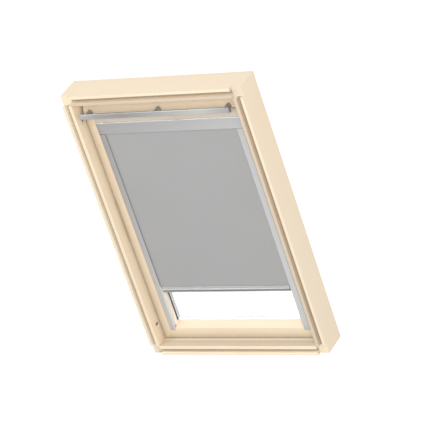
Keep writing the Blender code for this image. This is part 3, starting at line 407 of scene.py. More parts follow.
def frame_painted_light_and_shade(centre, normal):
    """Painted light and shade on the frame's faces: the groove, the bores in the jambs, the lips, corners
    and sill.
    """
    out = across_groove(centre)
    at_head, at_right = centre.z > HEAD_ABOVE_Z, centre.x > RIGHT_BEYOND_X
    before_lips = (at_right or at_head) and centre.y < LIP_FRONT_Y
    beside_groove = OUTER_LIP - 0.0015 < out < OUTER_LIP + GROOVE_W + 0.0015
    if beside_groove and within(GROOVE_SPAN_Y, centre.y):
        return groove_painted_light_and_shade(centre, normal, out)
    # Painted shade darkens the faces inside the bores in the jambs.
    inside_jamb = within(BORE_SPAN_X, abs(centre.x)) and within(BORE_SPAN_Z, centre.z)
    if inside_jamb and abs(normal.x) < 0.3 and within(BORE_SPAN_Y, centre.y):
        return JAMB_BORE_PAINTED_SHADE
    if before_lips and OUTER_LIP + GROOVE_W - 0.001 < out < MEMBER_W - 0.002:
        return LIP_PAINTED_SHADE
    if before_lips and OUTER_LIP - 0.0015 < out < OUTER_LIP + 0.0005:
        return OUTER_EDGE_PAINTED_SHADE
    in_corner = at_right and at_head and within(CORNER_SPAN_Y, centre.y)
    if in_corner and centre.x < frame_half_x - 0.0005:
        return CORNER_PAINTED_SHADE if normal.y < -0.9 else LIP_END_PAINTED_SHADE
    # Painted light pales the sill's low rounded edges and the back of its top face, and painted shade
    # darkens the top face toward the room.
    if centre.z < SILL_BELOW_Z and normal.z > 0.2 and normal.y < -0.2:
        return SILL_ROUND_PAINTED_LIGHT
    if normal.z > 0.9 and MEMBER_W - 0.006 < centre.z < MEMBER_W + 0.004:
        return SILL_BACK_PAINTED_LIGHT if centre.y > SILL_STEP_Y else SILL_PAINTED_SHADE
    return HEAD_END_PAINTED_SHADE if at_head and normal.x > 0.9 and centre.x < JAMB_FROM_X else PLAIN


def is_lip_edge(a, b):
    """True for the inner lip's edge toward the opening and the sill's outer lip's upper edge."""
    room_side = max(a.y, b.y) < ROOM_FACE_Y
    at_sill_groove = max(abs(v.z - OUTER_LIP) for v in (a, b)) < 1e-4
    beside = max(abs(abs(v.x) - frame_half_x + MEMBER_W) for v in (a, b)) < 1e-4
    level = max(abs(abs(v.z - frame_mid_z) - frame_half_z + MEMBER_W) for v in (a, b)) < 1e-4
    return room_side and (beside or level or at_sill_groove)


def groove_floor(bm):
    """The groove's floor among a board's faces."""
    floor = [f for f in bm.faces if f.normal.y < -0.9 and abs(f.calc_center_median().y - GROOVE_Y) < 1e-4]
    return max(floor, key=lambda f: f.calc_area())


def part_from_corner_blocks(bm):
    """Cut a jamb's groove floor at the ends of its lips, where it runs on into the plain corners."""
    for level in (MEMBER_W, 2 * frame_half_z - MEMBER_W):
        floor = groove_floor(bm)
        ends = []
        for reach in (OUTER_LIP, OUTER_LIP + GROOVE_W):
            beside = [v for v in floor.verts if abs(frame_half_x - abs(v.co.x) - reach) < 1e-4]
            ends.append(min(beside, key=lambda v: abs(v.co.z - level)))
        bmesh.utils.face_split(floor, *ends)


def frame_board(node, clear, deeper):
    """A frame board with a round inner lip, eased edges and the groove at its real depth."""
    board = solid_of(node)
    ease_edges(board, LIP_ROUND, lambda a, b: clear(a, b) and is_lip_edge(a, b), segments=5)
    ease_edges(board, PINE_EASE, lambda a, b: clear(a, b) and not is_lip_edge(a, b), sharper=50.0)
    if clear is clear_of_head:
        part_from_corner_blocks(board)
        floor = bmesh.ops.extrude_discrete_faces(board, faces=[groove_floor(board)])["faces"][0]
    else:
        floor = groove_floor(board)
    bmesh.ops.translate(board, verts=floor.verts, vec=(0, deeper, 0))
    return board


for side, s in (("left", -1), ("right", 1)):
    board = frame_board(f"frame_jamb_{side}", clear_of_head, GROOVE_DEEPER["jamb"])
    pith = (s * JAMB_PITH_X, JAMB_PITH_Y, 0)
    pine_board(board, f"jamb_{side}", f"frame_jamb_{side}", "Z", pith, frame_painted_light_and_shade)
for end, pith in END_PITHS.items():
    board = frame_board(f"frame_{end}", along_board, GROOVE_DEEPER[end])
    if end == "sill":
        cut_at(board, 1, SILL_STEP_Y)
    pine_board(board, f"{end}_board", f"frame_{end}", "X", pith, frame_painted_light_and_shade)


# The covers on the weather side are folded from aluminium sheet and powder coated in a mid grey.
# Four hold the frame's weather edge and four clamp the glass to the sash, all with small screws.
COVER_GREY = (0.30, 0.31, 0.32)
BROAD_SPECKLE = 14.0


def surface_shades(group, given, fine, broad):
    """The shade and the roughness that a surface's fine and broad noise give it."""
    calculate = calculator(group)
    centred = calculate("SUBTRACT", calculate("ADD", fine, broad), 1.0)
    shade = calculate("MULTIPLY_ADD", centred, given["Colour Change"], 1.0)
    rough = calculate("MULTIPLY_ADD", centred, given["Roughness Change"], given["Roughness"])
    return shade, rough


def shaded(group, colour, shade):
    """A colour made darker or paler by a shade round one."""
    return first_of(group, "ShaderNodeVectorMath", {0: colour, "Scale": shade}, operation="SCALE")


def make_speckle():
    """Fine speckle of a powder coat or a moulded skin: its colour, roughness and height."""
    takes = {
        "Vector": "Vector",
        "Grain Scale": 1800.0,
        "Colour": (0.5, 0.5, 0.5, 1),
        "Colour Change": 0.06,
        "Roughness": 0.5,
        "Roughness Change": 0.1,
    }
    group, given, result = open_group("speckle", "ShaderNodeTree", takes, LOOK)
    fine = noise(group, given["Vector"], given["Grain Scale"], 2.0)
    broad = noise(group, given["Vector"], BROAD_SPECKLE, 2.0)
    shade, rough = surface_shades(group, given, fine, broad)
    colour = shaded(group, given["Colour"], shade)
    return give(group, result, Color=colour, Roughness=rough, Height=fine)


SPECKLE = make_speckle()


def coated(name, colour, roughness, scale=1800.0, change=0.06, bump=0.25):
    """A coated or moulded surface with a fine speckle."""
    made, tree, shader = open_material(name, {})
    inputs = {
        "Vector": add_node(tree, "ShaderNodeTexCoord").outputs["Object"],
        "Grain Scale": scale,
        "Colour": (*colour, 1),
        "Colour Change": change,
        "Roughness": roughness,
    }
    wear(tree, shader, add_node(tree, "ShaderNodeGroup", inputs, node_tree=SPECKLE), bump, 0.0001)
    return made


def own_shape(node, ending, material, ease, segments=2):
    """A node's own shape with its edges eased, in its finish."""
    shape = ease_edges(solid_of(node), ease, segments=segments)
    return finished(shape, f"{node}_{ending}", material, node)


POWDER_COAT = coated("powder_coat", COVER_GREY, 0.42, change=0.12, bump=0.4)
for part, ends in (("frame_cover", ("head", "sill")), ("sash_cover", ("top", "bottom"))):
    for end in ("left", "right", *ends):
        own_shape(f"{part}_{end}", "sheet", POWDER_COAT, 0.0004)


# Every screw is zinc plated steel with a cross recess. The rows go through the covers, the pivot
# plates, the lock, the striker and the upper bolt bush, a few millimetres into the pine.
COVER_SCREW = (0.0032, 0.0012)
PLATE_SCREW = (0.0035, 0.0004)
LOCK_SCREW = (0.0032, 0.0004)
BUSH_SCREW = (0.0026, 0.0014)
COVER_LEAN = 0.13
FRAME_COVER_X, FRAME_COVER_Y, FRAME_COVER_ENDS = 0.364, 0.0718, (0.10, 1.08)
SASH_COVER_X, SASH_COVER_Y, SASH_COVER_ENDS = 0.318, 0.0597, (0.13, 1.05)
COVER_ROW = 5
END_SCREW_X, HEAD_SCREW_Z, SILL_SCREW_Z = 0.16, 1.1525, 0.0255
JAMB_PLATE_FACE, STILE_PLATE_FACE = 0.34905, 0.34695
LOCK_Y = 0.0387
STRIKER_SCREW_X, STRIKER_FACE_Z = 0.022, 1.13705
LOCK_CASE_SCREW_X, LOCK_CASE_FACE_Z = 0.034, 1.13265
BUSH_FLOOR_X, BUSH_Y, BUSH_SCREW_LOWER = -0.3512, -0.0293, 0.0085
RECESS_HEIGHT = 0.95
PIVOT_Y, PIVOT_Z = 0.012, 0.589
PLATE_SCREW_STEPS = (-0.075, -0.045, 0.045, 0.075)
LINES = ((12.0, 2200.0, 2200.0), 2.0)
BROAD_LINES = ((3.0, 25.0, 25.0), 1.0)
PAINTED_METAL_LIGHT_STRENGTH = 0.45


def make_metal_grain():
    """Fine lines of drawn or brushed metal that run along X, with broad soft changes and painted light and
    shade laid over.
    """
    takes = {
        "Vector": "Vector",
        "Colour": (0.5, 0.5, 0.5, 1),
        "Painted Metal Light And Shade": 0.0,
        "Colour Change": 0.08,
        "Roughness": 0.35,
        "Roughness Change": 0.15,
    }
    group, given, result = open_group("metal_grain", "ShaderNodeTree", takes, LOOK)
    fine = noise(group, given["Vector"], *LINES)
    shade, rough = surface_shades(group, given, fine, noise(group, given["Vector"], *BROAD_LINES))
    shade = calculator(group)("MULTIPLY_ADD", given["Painted Metal Light And Shade"], PAINTED_METAL_LIGHT_STRENGTH, shade)
    colour = shaded(group, given["Colour"], shade)
    return give(group, result, Color=colour, Roughness=rough, Height=fine)


METAL_GRAIN = make_metal_grain()


def metal(name, colour, roughness, along="X", metallic=1.0, change=0.08, bump=0.15):
    """Bare, plated or anodised metal, with its drawing lines along an axis and painted light and shade
    read from its faces.
    """
    made, tree, shader = open_material(name, {"Metallic": metallic})
    place = add_node(tree, "ShaderNodeTexCoord").outputs["Object"]
    inputs = {
        "Vector": first_of(tree, "ShaderNodeMapping", {"Vector": place, "Rotation": TURN_TO[along]}),
        "Painted Metal Light And Shade": add_node(tree, "ShaderNodeAttribute", attribute_name="metal_painted_light_and_shade").outputs["Fac"],
        "Colour": (*colour, 1),
        "Colour Change": change,
        "Roughness": roughness,
    }
    wear(tree, shader, add_node(tree, "ShaderNodeGroup", inputs, node_tree=METAL_GRAIN), bump, 0.00005)
    return made


ZINC = metal("zinc_plate", (0.56, 0.56, 0.54), 0.34, change=0.15)


def set_out(tree, rows, finish):
    """Instances on points, made real and given a finish."""
    placed = first_of(tree, "GeometryNodeInstanceOnPoints", rows)
    real = first_of(tree, "GeometryNodeRealizeInstances", {0: placed})
    return first_of(tree, "GeometryNodeSetMaterial", {"Geometry": real, "Material": finish})


def make_screw_tree():
    """A cross-recess screw head on every point, turned to its facing and sized by its size."""
    takes = {
        "Points": "Geometry",
        "Dome": 0.62,
        "Recess Length": 1.15,
        "Recess Width": 0.2,
        "Finish": "Material",
    }
    tree, given, result = open_group("screw_rows", "GeometryNodeTree", takes, {"Screws": "Geometry"})
    dome = {"Vertices": 16, "Radius Top": given["Dome"], "Radius Bottom": 1.0, "Depth": 1.0}
    head = add_node(tree, "GeometryNodeMeshCone", dome).outputs["Mesh"]
    cutting = add_node(
        tree, "GeometryNodeMeshBoolean", {"Mesh 1": head}, operation="DIFFERENCE", solver="EXACT"
    )
    for across, along in (("Recess Length", "Recess Width"), ("Recess Width", "Recess Length")):
        size = first_of(tree, "ShaderNodeCombineXYZ", {"X": given[across], "Y": given[along], "Z": 1.0})
        bar = add_node(tree, "GeometryNodeMeshCube", {"Size": size}).outputs["Mesh"]
        lifted = {"Geometry": bar, "Translation": (0, 0, RECESS_HEIGHT)}
        tree.links.new(first_of(tree, "GeometryNodeTransform", lifted), cutting.inputs["Mesh 2"])
    facing, size = [
        add_node(
            tree, "GeometryNodeInputNamedAttribute", {"Name": name}, data_type="FLOAT_VECTOR"
        ).outputs["Attribute"]
        for name in ("facing", "size")
    ]
    turn = first_of(tree, "FunctionNodeAlignRotationToVector", {"Vector": facing}, axis="Z")
    screw = cutting.outputs["Mesh"]
    rows = {"Points": given["Points"], "Instance": screw, "Rotation": turn, "Scale": size}
    return give(tree, result, Screws=set_out(tree, rows, given["Finish"]))


SCREW_ROWS = make_screw_tree()


def plain_mesh(piece):
    """The plain mesh that a piece's modifiers make."""
    return bpy.data.meshes.new_from_object(piece.evaluated_get(bpy.context.evaluated_depsgraph_get()))


def grown(name, mesh, tree, finish):
    """Run a geometry tree on a mesh and keep the plain mesh that it makes."""
    seed = in_scene(name + "_seed", mesh)
    growth = seed.modifiers.new("growth", "NODES")
    growth.node_group = tree
    for item in tree.interface.items_tree:
        if item.in_out == "INPUT" and item.name == "Finish":
            growth[item.identifier] = finish
    made = plain_mesh(seed)
    made.name = name
    bpy.data.objects.remove(seed, do_unlink=True)
    return in_scene(name, made)


def screw_row(name, body, places):
    """Screws at (point, facing, radius, rise) places, as one piece on one body."""
    mesh = bpy.data.meshes.new(name + "_points")
    mesh.from_pydata([point for point, _, _, _ in places], [], [])
    facing = mesh.attributes.new("facing", "FLOAT_VECTOR", "POINT")
    size = mesh.attributes.new("size", "FLOAT_VECTOR", "POINT")
    for i, (_, towards, radius, rise) in enumerate(places):
        facing.data[i].vector = towards
        size.data[i].vector = (radius, radius, rise)
    piece = grown(name, mesh, SCREW_ROWS, ZINC)
    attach(piece, body)


def spread(start, end, count):
    """Evenly spread numbers, both ends included."""
    return [start + (end - start) * i / (count - 1) for i in range(count)]


frame_screws, sash_screws = [], []
for s in (-1, 1):
    lean = (-s * COVER_LEAN, 1, 0)
    for z in spread(*FRAME_COVER_ENDS, COVER_ROW):
        frame_screws.append(((s * FRAME_COVER_X, FRAME_COVER_Y, z), lean, *COVER_SCREW))
    for z in spread(*SASH_COVER_ENDS, COVER_ROW):
        sash_screws.append(((s * SASH_COVER_X, SASH_COVER_Y, z), lean, *COVER_SCREW))
    for z, lean_z in ((HEAD_SCREW_Z, -COVER_LEAN), (SILL_SCREW_Z, COVER_LEAN)):
        frame_screws.append(((s * END_SCREW_X, FRAME_COVER_Y, z), (0, 1, lean_z), *COVER_SCREW))
    for step in PLATE_SCREW_STEPS:
        z = PIVOT_Z + step
        frame_screws.append(((s * JAMB_PLATE_FACE, PIVOT_Y, z), (-s, 0, 0), *PLATE_SCREW))
        sash_screws.append(((s * STILE_PLATE_FACE, PIVOT_Y, z), (s, 0, 0), *PLATE_SCREW))
    frame_screws.append(((s * STRIKER_SCREW_X, LOCK_Y, STRIKER_FACE_Z), (0, 0, -1), *LOCK_SCREW))
    sash_screws.append(((s * LOCK_CASE_SCREW_X, LOCK_Y, LOCK_CASE_FACE_Z), (0, 0, 1), *LOCK_SCREW))
low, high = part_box("bolt_bush_upper")
bush_screw = (BUSH_FLOOR_X, BUSH_Y, (low.z + high.z) / 2 - BUSH_SCREW_LOWER)
frame_screws.append((bush_screw, (1, 0, 0), *BUSH_SCREW))
screw_row("frame_screws", "frame", frame_screws)
screw_row("sash_screws", "sash", sash_screws)


# The sash is four pine pieces round the glass. Its face is eased toward the room, its bottom rail
# slopes to the glass, and its top rail carries the flap's seat and the lock.
SASH_EASE = 0.0012
SIGHT_X = 0.290
STILE_STEP = 0.0070
REBATE_MIDDLE = 0.300
STILE_PITH_X, STILE_PITH_Y = 0.36, -0.12
RAIL_PITHS = {"top": (0.4, -0.11, 1.02), "bottom": (-0.1, 0.13, 0.14)}
REVEAL_PAINTED_LIGHT = (0.11, 0.20, 0.33)
TOP_RAIL_PAINTED_SHADE = (-0.27, -0.22, -0.13)


def clear_of_rails(a, b):
    """True for a stile's long edges, and for its ends at the outer corners."""
    return math.hypot(a.x - b.x, a.y - b.y) < 1e-5


def stile_reveal_light_painting(centre, normal):
    """Painted light pales a stile's reveal beside the glass."""
    return REVEAL_PAINTED_LIGHT if abs(centre.x) < REBATE_MIDDLE else PLAIN


def top_rail_shade_painting(centre, normal):
    """Painted shade darkens the top rail's face toward the room behind the flap."""
    return TOP_RAIL_PAINTED_SHADE if normal.y < -0.9 else PLAIN


for side, s in (("left", -1), ("right", 1)):
    board = solid_of(f"sash_stile_{side}")
    for vert in board.verts:
        if abs(abs(vert.co.x) - SIGHT_X) < 1e-4:
            vert.co.x -= s * STILE_STEP
    ease_edges(board, SASH_EASE, clear_of_rails)
    pith = (s * STILE_PITH_X, STILE_PITH_Y, 0)
    pine_board(board, f"stile_{side}", f"sash_stile_{side}", "Z", pith, stile_reveal_light_painting)
for end, pith in RAIL_PITHS.items():
    board = ease_edges(solid_of(f"sash_{end}_rail"), SASH_EASE, along_board)
    light_and_shade_of = top_rail_shade_painting if end == "top" else None
    pine_board(board, f"{end}_rail_board", f"sash_{end}_rail", "X", pith, light_and_shade_of)


# The glass unit is two panes with arrised edges, a spacer between them and a rubber gasket on the
# room side. The spacer is a perforated aluminium channel, and dark sealant joins it to the panes.
BLACK_RUBBER = coated("black_rubber", (0.030, 0.029, 0.027), 0.62, scale=900.0, change=0.2)
SEALANT = coated("sealant", (0.30, 0.30, 0.29), 0.55, scale=700.0, change=0.1)
SPACER_METAL = metal("spacer_metal", (0.55, 0.54, 0.56), 0.5, metallic=0.0)
GLASS_SHADE = (0.97, 0.98, 0.975)
RING_STEP = 0.0085
GASKET_LOWER, SPACER_LOWER = 0.0045, 0.0032
SPACER_BOTTOM_Z = 0.130
# Strength of the painted highlight on the spacer's lowest run.
SPACER_PAINTED_HIGHLIGHT = 1.9
PERFORATION_PITCH = 0.008


def clear_glass():
    """Clear glass that lets the lamps through to what is behind it."""
    values = {"Base Color": (1, 1, 1, 1), "Roughness": 0.0, "IOR": 1.45, "Transmission Weight": 1.0}
    made, tree, shader = open_material("clear_glass", values)
    ray = add_node(tree, "ShaderNodeLightPath").outputs["Is Shadow Ray"]
    clear = first_of(tree, "ShaderNodeBsdfTransparent", {"Color": (*GLASS_SHADE, 1)})
    glass = first_of(tree, "ShaderNodeMixShader", {0: ray, 1: shader.outputs[0], 2: clear})
    tree.links.new(glass, tree.nodes["Material Output"].inputs["Surface"])
    return made


def rectangle(a0, b0, a1, b1):
    """A rectangle's four corners, from one corner round to the one beside it."""
    return [(a0, b0), (a1, b0), (a1, b1), (a0, b1)]


def walls(bm, start, end):
    """Faces between two closed rings of points."""
    for i, (a, b) in enumerate(zip(start, end)):
        bm.faces.new((a, start[(i + 1) % len(start)], end[(i + 1) % len(end)], b))


def ring_round(node, lower):
    """A four-sided ring in a node's place, with its sides set inward and its lowest run set lower."""
    low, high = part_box(node)
    shape = [v.co for v in frame["nodes"][node].data.vertices]
    inner_x = min(abs(v.x) for v in shape) - RING_STEP
    levels = [v.z for v in shape if abs(v.x) < high.x - 0.008]
    bm = bmesh.new()
    rings = []
    for x, z0, z1 in ((high.x, low.z, high.z), (inner_x, min(levels) - lower, max(levels))):
        for y in (low.y, high.y):
            rings.append([bm.verts.new((cx, y, cz)) for cx, cz in rectangle(-x, z0, x, z1)])
    order = (rings[0], rings[1], rings[3], rings[2])
    for start, end in zip(order, order[1:] + order[:1]):
        walls(bm, start, end)
    bmesh.ops.recalc_face_normals(bm, faces=bm.faces)
    return bm


def metal_painted_light_and_shade(piece, amount_of):
    """Mark painted light and shade on the metal at the corners of its faces, by their places and normals.
    """
    marks = piece.data.attributes.new("metal_painted_light_and_shade", "FLOAT", "CORNER")
    for polygon in piece.data.polygons:
        for corner in polygon.loop_indices:
            place = piece.data.vertices[piece.data.loops[corner].vertex_index].co
            marks.data[corner].value = amount_of(place, polygon.normal)


def second_finish(piece, material, wanted):
    """Give a second finish to the faces that a test of their middles and normals picks."""
    piece.data.materials.append(material)
    for polygon in piece.data.polygons:
        if wanted(polygon.center, polygon.normal):
            polygon.material_index = 1


def spacer_highlight_painting(place, normal):
    """A painted highlight on the top and the front of the spacer's lowest run."""
    lit = place.z < SPACER_BOTTOM_Z and (normal.z > 0.3 or normal.y < -0.3)
    return SPACER_PAINTED_HIGHLIGHT if lit else 0.0


def make_perforation_tree():
    """Small round holes, shown as dark flush discs, at an even pitch along the spacer's wall."""
    takes = {
        "Loop": "Geometry",
        "Pitch": PERFORATION_PITCH,
        "Hole Radius": 0.0007,
        "Rise": 0.0001,
        "Finish": "Material",
    }
    tree, given, result = open_group("perforations", "GeometryNodeTree", takes, {"Holes": "Geometry"})
    path = first_of(tree, "GeometryNodeMeshToCurve", {0: given["Loop"]})
    lengths = {"Curve": path, "Length": given["Pitch"]}
    even = first_of(tree, "GeometryNodeResampleCurve", lengths, mode="LENGTH")
    tangent = first_of(tree, "GeometryNodeInputTangent")
    across = first_of(
        tree, "ShaderNodeVectorMath", {0: tangent, 1: (0, 1, 0)}, operation="CROSS_PRODUCT"
    )
    turn = first_of(tree, "FunctionNodeAlignRotationToVector", {"Vector": across}, axis="Z")
    disc = {"Vertices": 8, "Radius": given["Hole Radius"], "Depth": given["Rise"]}
    disc = add_node(tree, "GeometryNodeMeshCylinder", disc).outputs["Mesh"]
    rows = {"Points": even, "Instance": disc, "Rotation": turn}
    return give(tree, result, Holes=set_out(tree, rows, given["Finish"]))


GLASS = clear_glass()
for node in ("inner_pane", "outer_pane"):
    own_shape(node, "glass", GLASS, 0.0005)
gasket = ease_edges(ring_round("glazing_gasket", GASKET_LOWER), 0.0006, segments=2)
finished(gasket, "gasket_lip", BLACK_RUBBER, "glazing_gasket")
finished(ease_edges(solid_of("weather_seal"), 0.0009), "seal_strip", BLACK_RUBBER, "weather_seal")
spacer_bars = ease_edges(ring_round("glass_spacer", SPACER_LOWER), 0.0008, segments=2)
spacer = finished(spacer_bars, "spacer_channel", SPACER_METAL, "glass_spacer")
metal_painted_light_and_shade(spacer, spacer_highlight_painting)
second_finish(spacer, SEALANT, lambda at, normal: abs(normal.y) > 0.6 and at.z > SPACER_BOTTOM_Z)
low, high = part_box("glass_spacer")
wall = [v.co for v in spacer.data.vertices if abs(v.co.x) < high.x - 0.01]
half = max(v.x for v in wall)
foot, top = min(v.z for v in wall), max(v.z for v in wall)
middle = (low.y + high.y) / 2
loop = bpy.data.meshes.new("spacer_loop")
corners = [(x, middle, z) for x, z in rectangle(-half, foot, half, top)]
loop.from_pydata(corners, [(0, 1), (1, 2), (2, 3), (3, 0)], [])
holes = grown("spacer_holes", loop, make_perforation_tree(), SEALANT)
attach(holes, "sash")


# The sash turns on a friction pivot at each side: yellow zinc plated plates and a turned pin.
# The lock case, its tongue, the striker and the barrel bolt are zinc plated steel. The bolt slides
# into one of two pale plastic bushes in the left jamb.
YELLOW_ZINC = metal("yellow_zinc_plate", (0.58, 0.49, 0.34), 0.5, change=0.15, metallic=0.4)
PALE_PLASTIC = coated("pale_plastic", (0.74, 0.64, 0.50), 0.5, change=0.05)
BUSH_BORE_PAINTED_SHADE = coated("bush_bore_painted_shade_finish", (0.24, 0.20, 0.165), 0.7, scale=900.0, change=0.2)
BUSH_WALL = 0.0012
for side in ("left", "right"):
    for node in (f"pivot_plate_frame_{side}", f"pivot_plate_sash_{side}"):
        own_shape(node, "steel", YELLOW_ZINC, 0.0004)
    for node in (f"pivot_pin_{side}", f"flap_pin_{side}"):
        own_shape(node, "steel", ZINC, 0.0003)
for node in ("striker_plate", "lock_case", "lock_tongue", "barrel_bolt"):
    own_shape(node, "steel", ZINC, 0.0004)


def in_bore(away, half_size, normal):
    """True for a bush's faces that lie within its rim, apart from the rim's own face."""
    reach = half_size - Vector((BUSH_WALL, BUSH_WALL, BUSH_WALL))
    inside = abs(away.y) < reach.y and abs(away.z) < reach.z
    return inside and (abs(normal.x) < 0.5 or away.x < reach.x)


for node in ("bolt_bush_upper", "bolt_bush_lower"):
    bush = own_shape(node, "moulding", PALE_PLASTIC, 0.0006, segments=3)
    low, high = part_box(node)
    middle, half_size = (low + high) / 2, (high - low) / 2
    # The faces inside each bush's bore are dark with painted shade.
    second_finish(bush, BUSH_BORE_PAINTED_SHADE, lambda at, normal: in_bore(at - middle, half_size, normal))


# The ventilation flap is one pine board with a rounded nose, which turns in a beige lug at each
# end. It closes over the gap above the top rail.
BEIGE_PLASTIC = coated("beige_plastic", (0.60, 0.49, 0.35), 0.5)
FLAP_EASE = 0.0016
FLAP_PITH = (0.1, 0.09, 1.16)
flap = ease_edges(solid_of("vent_flap"), FLAP_EASE, sharper=40.0)
pine_board(flap, "flap_board", "vent_flap", "X", FLAP_PITH)
for side in ("left", "right"):
    own_shape(f"flap_lug_{side}", "moulding", BEIGE_PLASTIC, 0.0005)


# The control bar is a satin aluminium extrusion, clipped over a dark plastic core.
# Dark caps close its ends, and three dark arms hold it to the flap.
DARK_PLASTIC = coated("dark_plastic", (0.105, 0.096, 0.090), 0.5, change=0.1)
ARM_PLASTIC = coated("arm_plastic", (0.27, 0.262, 0.24), 0.5, change=0.1)
CAP_PLASTIC = coated("cap_plastic", (0.17, 0.162, 0.155), 0.5, change=0.1)
CAP_PAINTED_LIGHT = coated("cap_painted_light_face", (0.45, 0.44, 0.43), 0.45, change=0.1)
BAR_METAL = metal("bar_aluminium", (0.37, 0.37, 0.365), 0.38, metallic=0.8)
SHELL_DEPTH, SHELL_WALL = 0.0055, 0.0014
SHELL_ROUND = 0.0035
CORE_INSET, CORE_SHORTER = 0.0016, 0.0002
CORE_ROUNDS = (0.0015, 0.001, 0.001, 0.0015)
# Painted light and shade along the control bar, as (x, amount) steps, and a painted highlight on its fold.
BAR_PAINTED_LIGHT_STEPS = ((-0.34, 0.50), (-0.25, -0.20), (-0.14, -0.48), (0.02, 0.10), (0.20, 0.75), (0.34, -0.20))
FOLD_PAINTED_HIGHLIGHT = 0.2


def rounded(corners, radii, steps=6):
    """A path's points with an arc of its own radius at every corner."""
    points = []
    for i, (corner, radius) in enumerate(zip(corners, radii)):
        here = Vector(corner)
        if radius == 0:
            points.append(tuple(here))
            continue
        back = (Vector(corners[i - 1]) - here).normalized()
        on = (Vector(corners[(i + 1) % len(corners)]) - here).normalized()
        half_turn = back.angle(on) / 2
        centre = here + (back + on).normalized() * radius / math.sin(half_turn)
        start = here + back * radius / math.tan(half_turn) - centre
        end = here + on * radius / math.tan(half_turn) - centre
        sweep = start.angle_signed(end)
        for k in range(steps + 1):
            turn = -sweep * k / steps
            cos, sin = math.cos(turn), math.sin(turn)
            x = centre.x + start.x * cos - start.y * sin
            y = centre.y + start.x * sin + start.y * cos
            points.append((x, y))
    return points


def run_along(outline, axis, start, end):
    """A solid with an outline of (y, z) points run along X, or of (x, y) points run along Z."""
    bm = bmesh.new()
    rings = []
    for w in (start, end):
        spot = {"X": lambda u, v: (w, u, v), "Z": lambda u, v: (u, v, w)}[axis]
        rings.append([bm.verts.new(spot(u, v)) for u, v in outline])
    bm.faces.new(rings[0])
    bm.faces.new(reversed(rings[1]))
    walls(bm, *rings)
    return bm


def is_room_fold(normal):
    """True on a rounded edge that looks up and to the room, where a highlight is painted."""
    return normal.z > 0.2 and normal.y < -0.1


def bar_light_and_shade_painting(place, normal):
    """Painted shade darkens the bar from its left tip, painted light then pales it, and painted shade
    darkens it again, with a painted highlight on its fold.
    """
    for (x0, shine0), (x1, shine1) in zip(BAR_PAINTED_LIGHT_STEPS, BAR_PAINTED_LIGHT_STEPS[1:]):
        if place.x <= x1:
            break
    along = (place.x - x0) / (x1 - x0)
    return FOLD_PAINTED_HIGHLIGHT * is_room_fold(normal) + shine0 + along * (shine1 - shine0)


low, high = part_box("control_bar")
room, back = low.y, low.y + SHELL_DEPTH
shell = rectangle(back, low.z, room, high.z)
inner = rectangle(back, high.z - SHELL_WALL, room + SHELL_WALL, low.z + SHELL_WALL)
inner_round = SHELL_ROUND - SHELL_WALL
shell = rounded(shell, (0, SHELL_ROUND, SHELL_ROUND, 0)) + rounded(inner, (0, inner_round, inner_round, 0))
bar = run_along(shell, "X", low.x, high.x)
for level, _ in BAR_PAINTED_LIGHT_STEPS[1:-1]:
    cut_at(bar, 0, level)
metal_painted_light_and_shade(finished(bar, "bar_shell", BAR_METAL, "control_bar"), bar_light_and_shade_painting)
core = rectangle(high.y, low.z + CORE_INSET, room + 2 * SHELL_WALL, high.z - CORE_INSET)
core = run_along(rounded(core, CORE_ROUNDS, 3), "X", low.x + CORE_SHORTER, high.x - CORE_SHORTER)
piece = finished(core, "bar_core", DARK_PLASTIC, body="vent_flap")
for side in ("left", "right"):
    cap = own_shape(f"bar_cap_{side}", "moulding", CAP_PLASTIC, 0.0006)
    if side == "left":
        # The left cap's faces toward the room and up get a pale copy of its finish, as painted light.
        second_finish(cap, CAP_PAINTED_LIGHT, lambda at, normal: normal.y < -0.3 or normal.z > 0.3)
for name in ("left", "centre", "right"):
    own_shape(f"control_arm_{name}", "moulding", ARM_PLASTIC, 0.0010, segments=3)


# The blind's casing and side rails are folded from satin aluminium sheet and screwed to the sash.
# The casing's face turns over its top in a soft fold, and plastic caps carry the roller.
CASING_METAL = metal("casing_aluminium", (0.43, 0.43, 0.435), 0.40, metallic=0.5)
RAIL_METAL = metal("rail_aluminium", (0.50, 0.50, 0.505), 0.42, along="Z", metallic=0.75)
GREY_PLASTIC = coated("grey_plastic", (0.46, 0.46, 0.455), 0.5, change=0.05)
SHEET = 0.0012
CASING_RISE = 0.0024
CASING_LIP, CASING_BACK = 0.0027, 0.040
CASING_FOLDS = (0, 0.0016, 0.0065, 0.0016, 0)
# Painted shade on the casing's top, a painted highlight on its fold, and painted light growing to the
# right.
CASING_BACK_PAINTED_SHADE, CASING_FOLD_PAINTED_HIGHLIGHT, CASING_PAINTED_LIGHT_GROWTH = -0.6, 1.3, 0.9
RAIL_FRONT_LIP, RAIL_BACK_LIP = 0.0028, 0.0035
RAIL_FOLDS = (0, 0.0013, 0.0013, 0.0013, 0)
# Cut levels on the side rails, and the painted light and shade on the left rail.
EDGE_CUTS = (0.292, 0.284)
RAIL_PAINTED_LIGHT, RAIL_PAINTED_LIGHT_LOSS = 0.15, 0.75
RAIL_EDGE_PAINTED_SHADE, RAIL_LOW_EDGE_PAINTED_LIGHT = -0.75, 2.2


def sheet_outline(path, radii, thickness):
    """The outline of a sheet folded along a path on its outer side, with rounded folds."""
    outer = rounded(path, radii)
    runs = [Vector(b) - Vector(a) for a, b in zip(outer, outer[1:])]
    normals = [Vector((run.y, -run.x)).normalized() for run in runs]
    inner = []
    for i, point in enumerate(outer):
        before, after = normals[max(i - 1, 0)], normals[min(i, len(normals) - 1)]
        across = (before + after).normalized()
        inner.append(tuple(Vector(point) + across * thickness / across.dot(after)))
    return outer + inner[::-1]


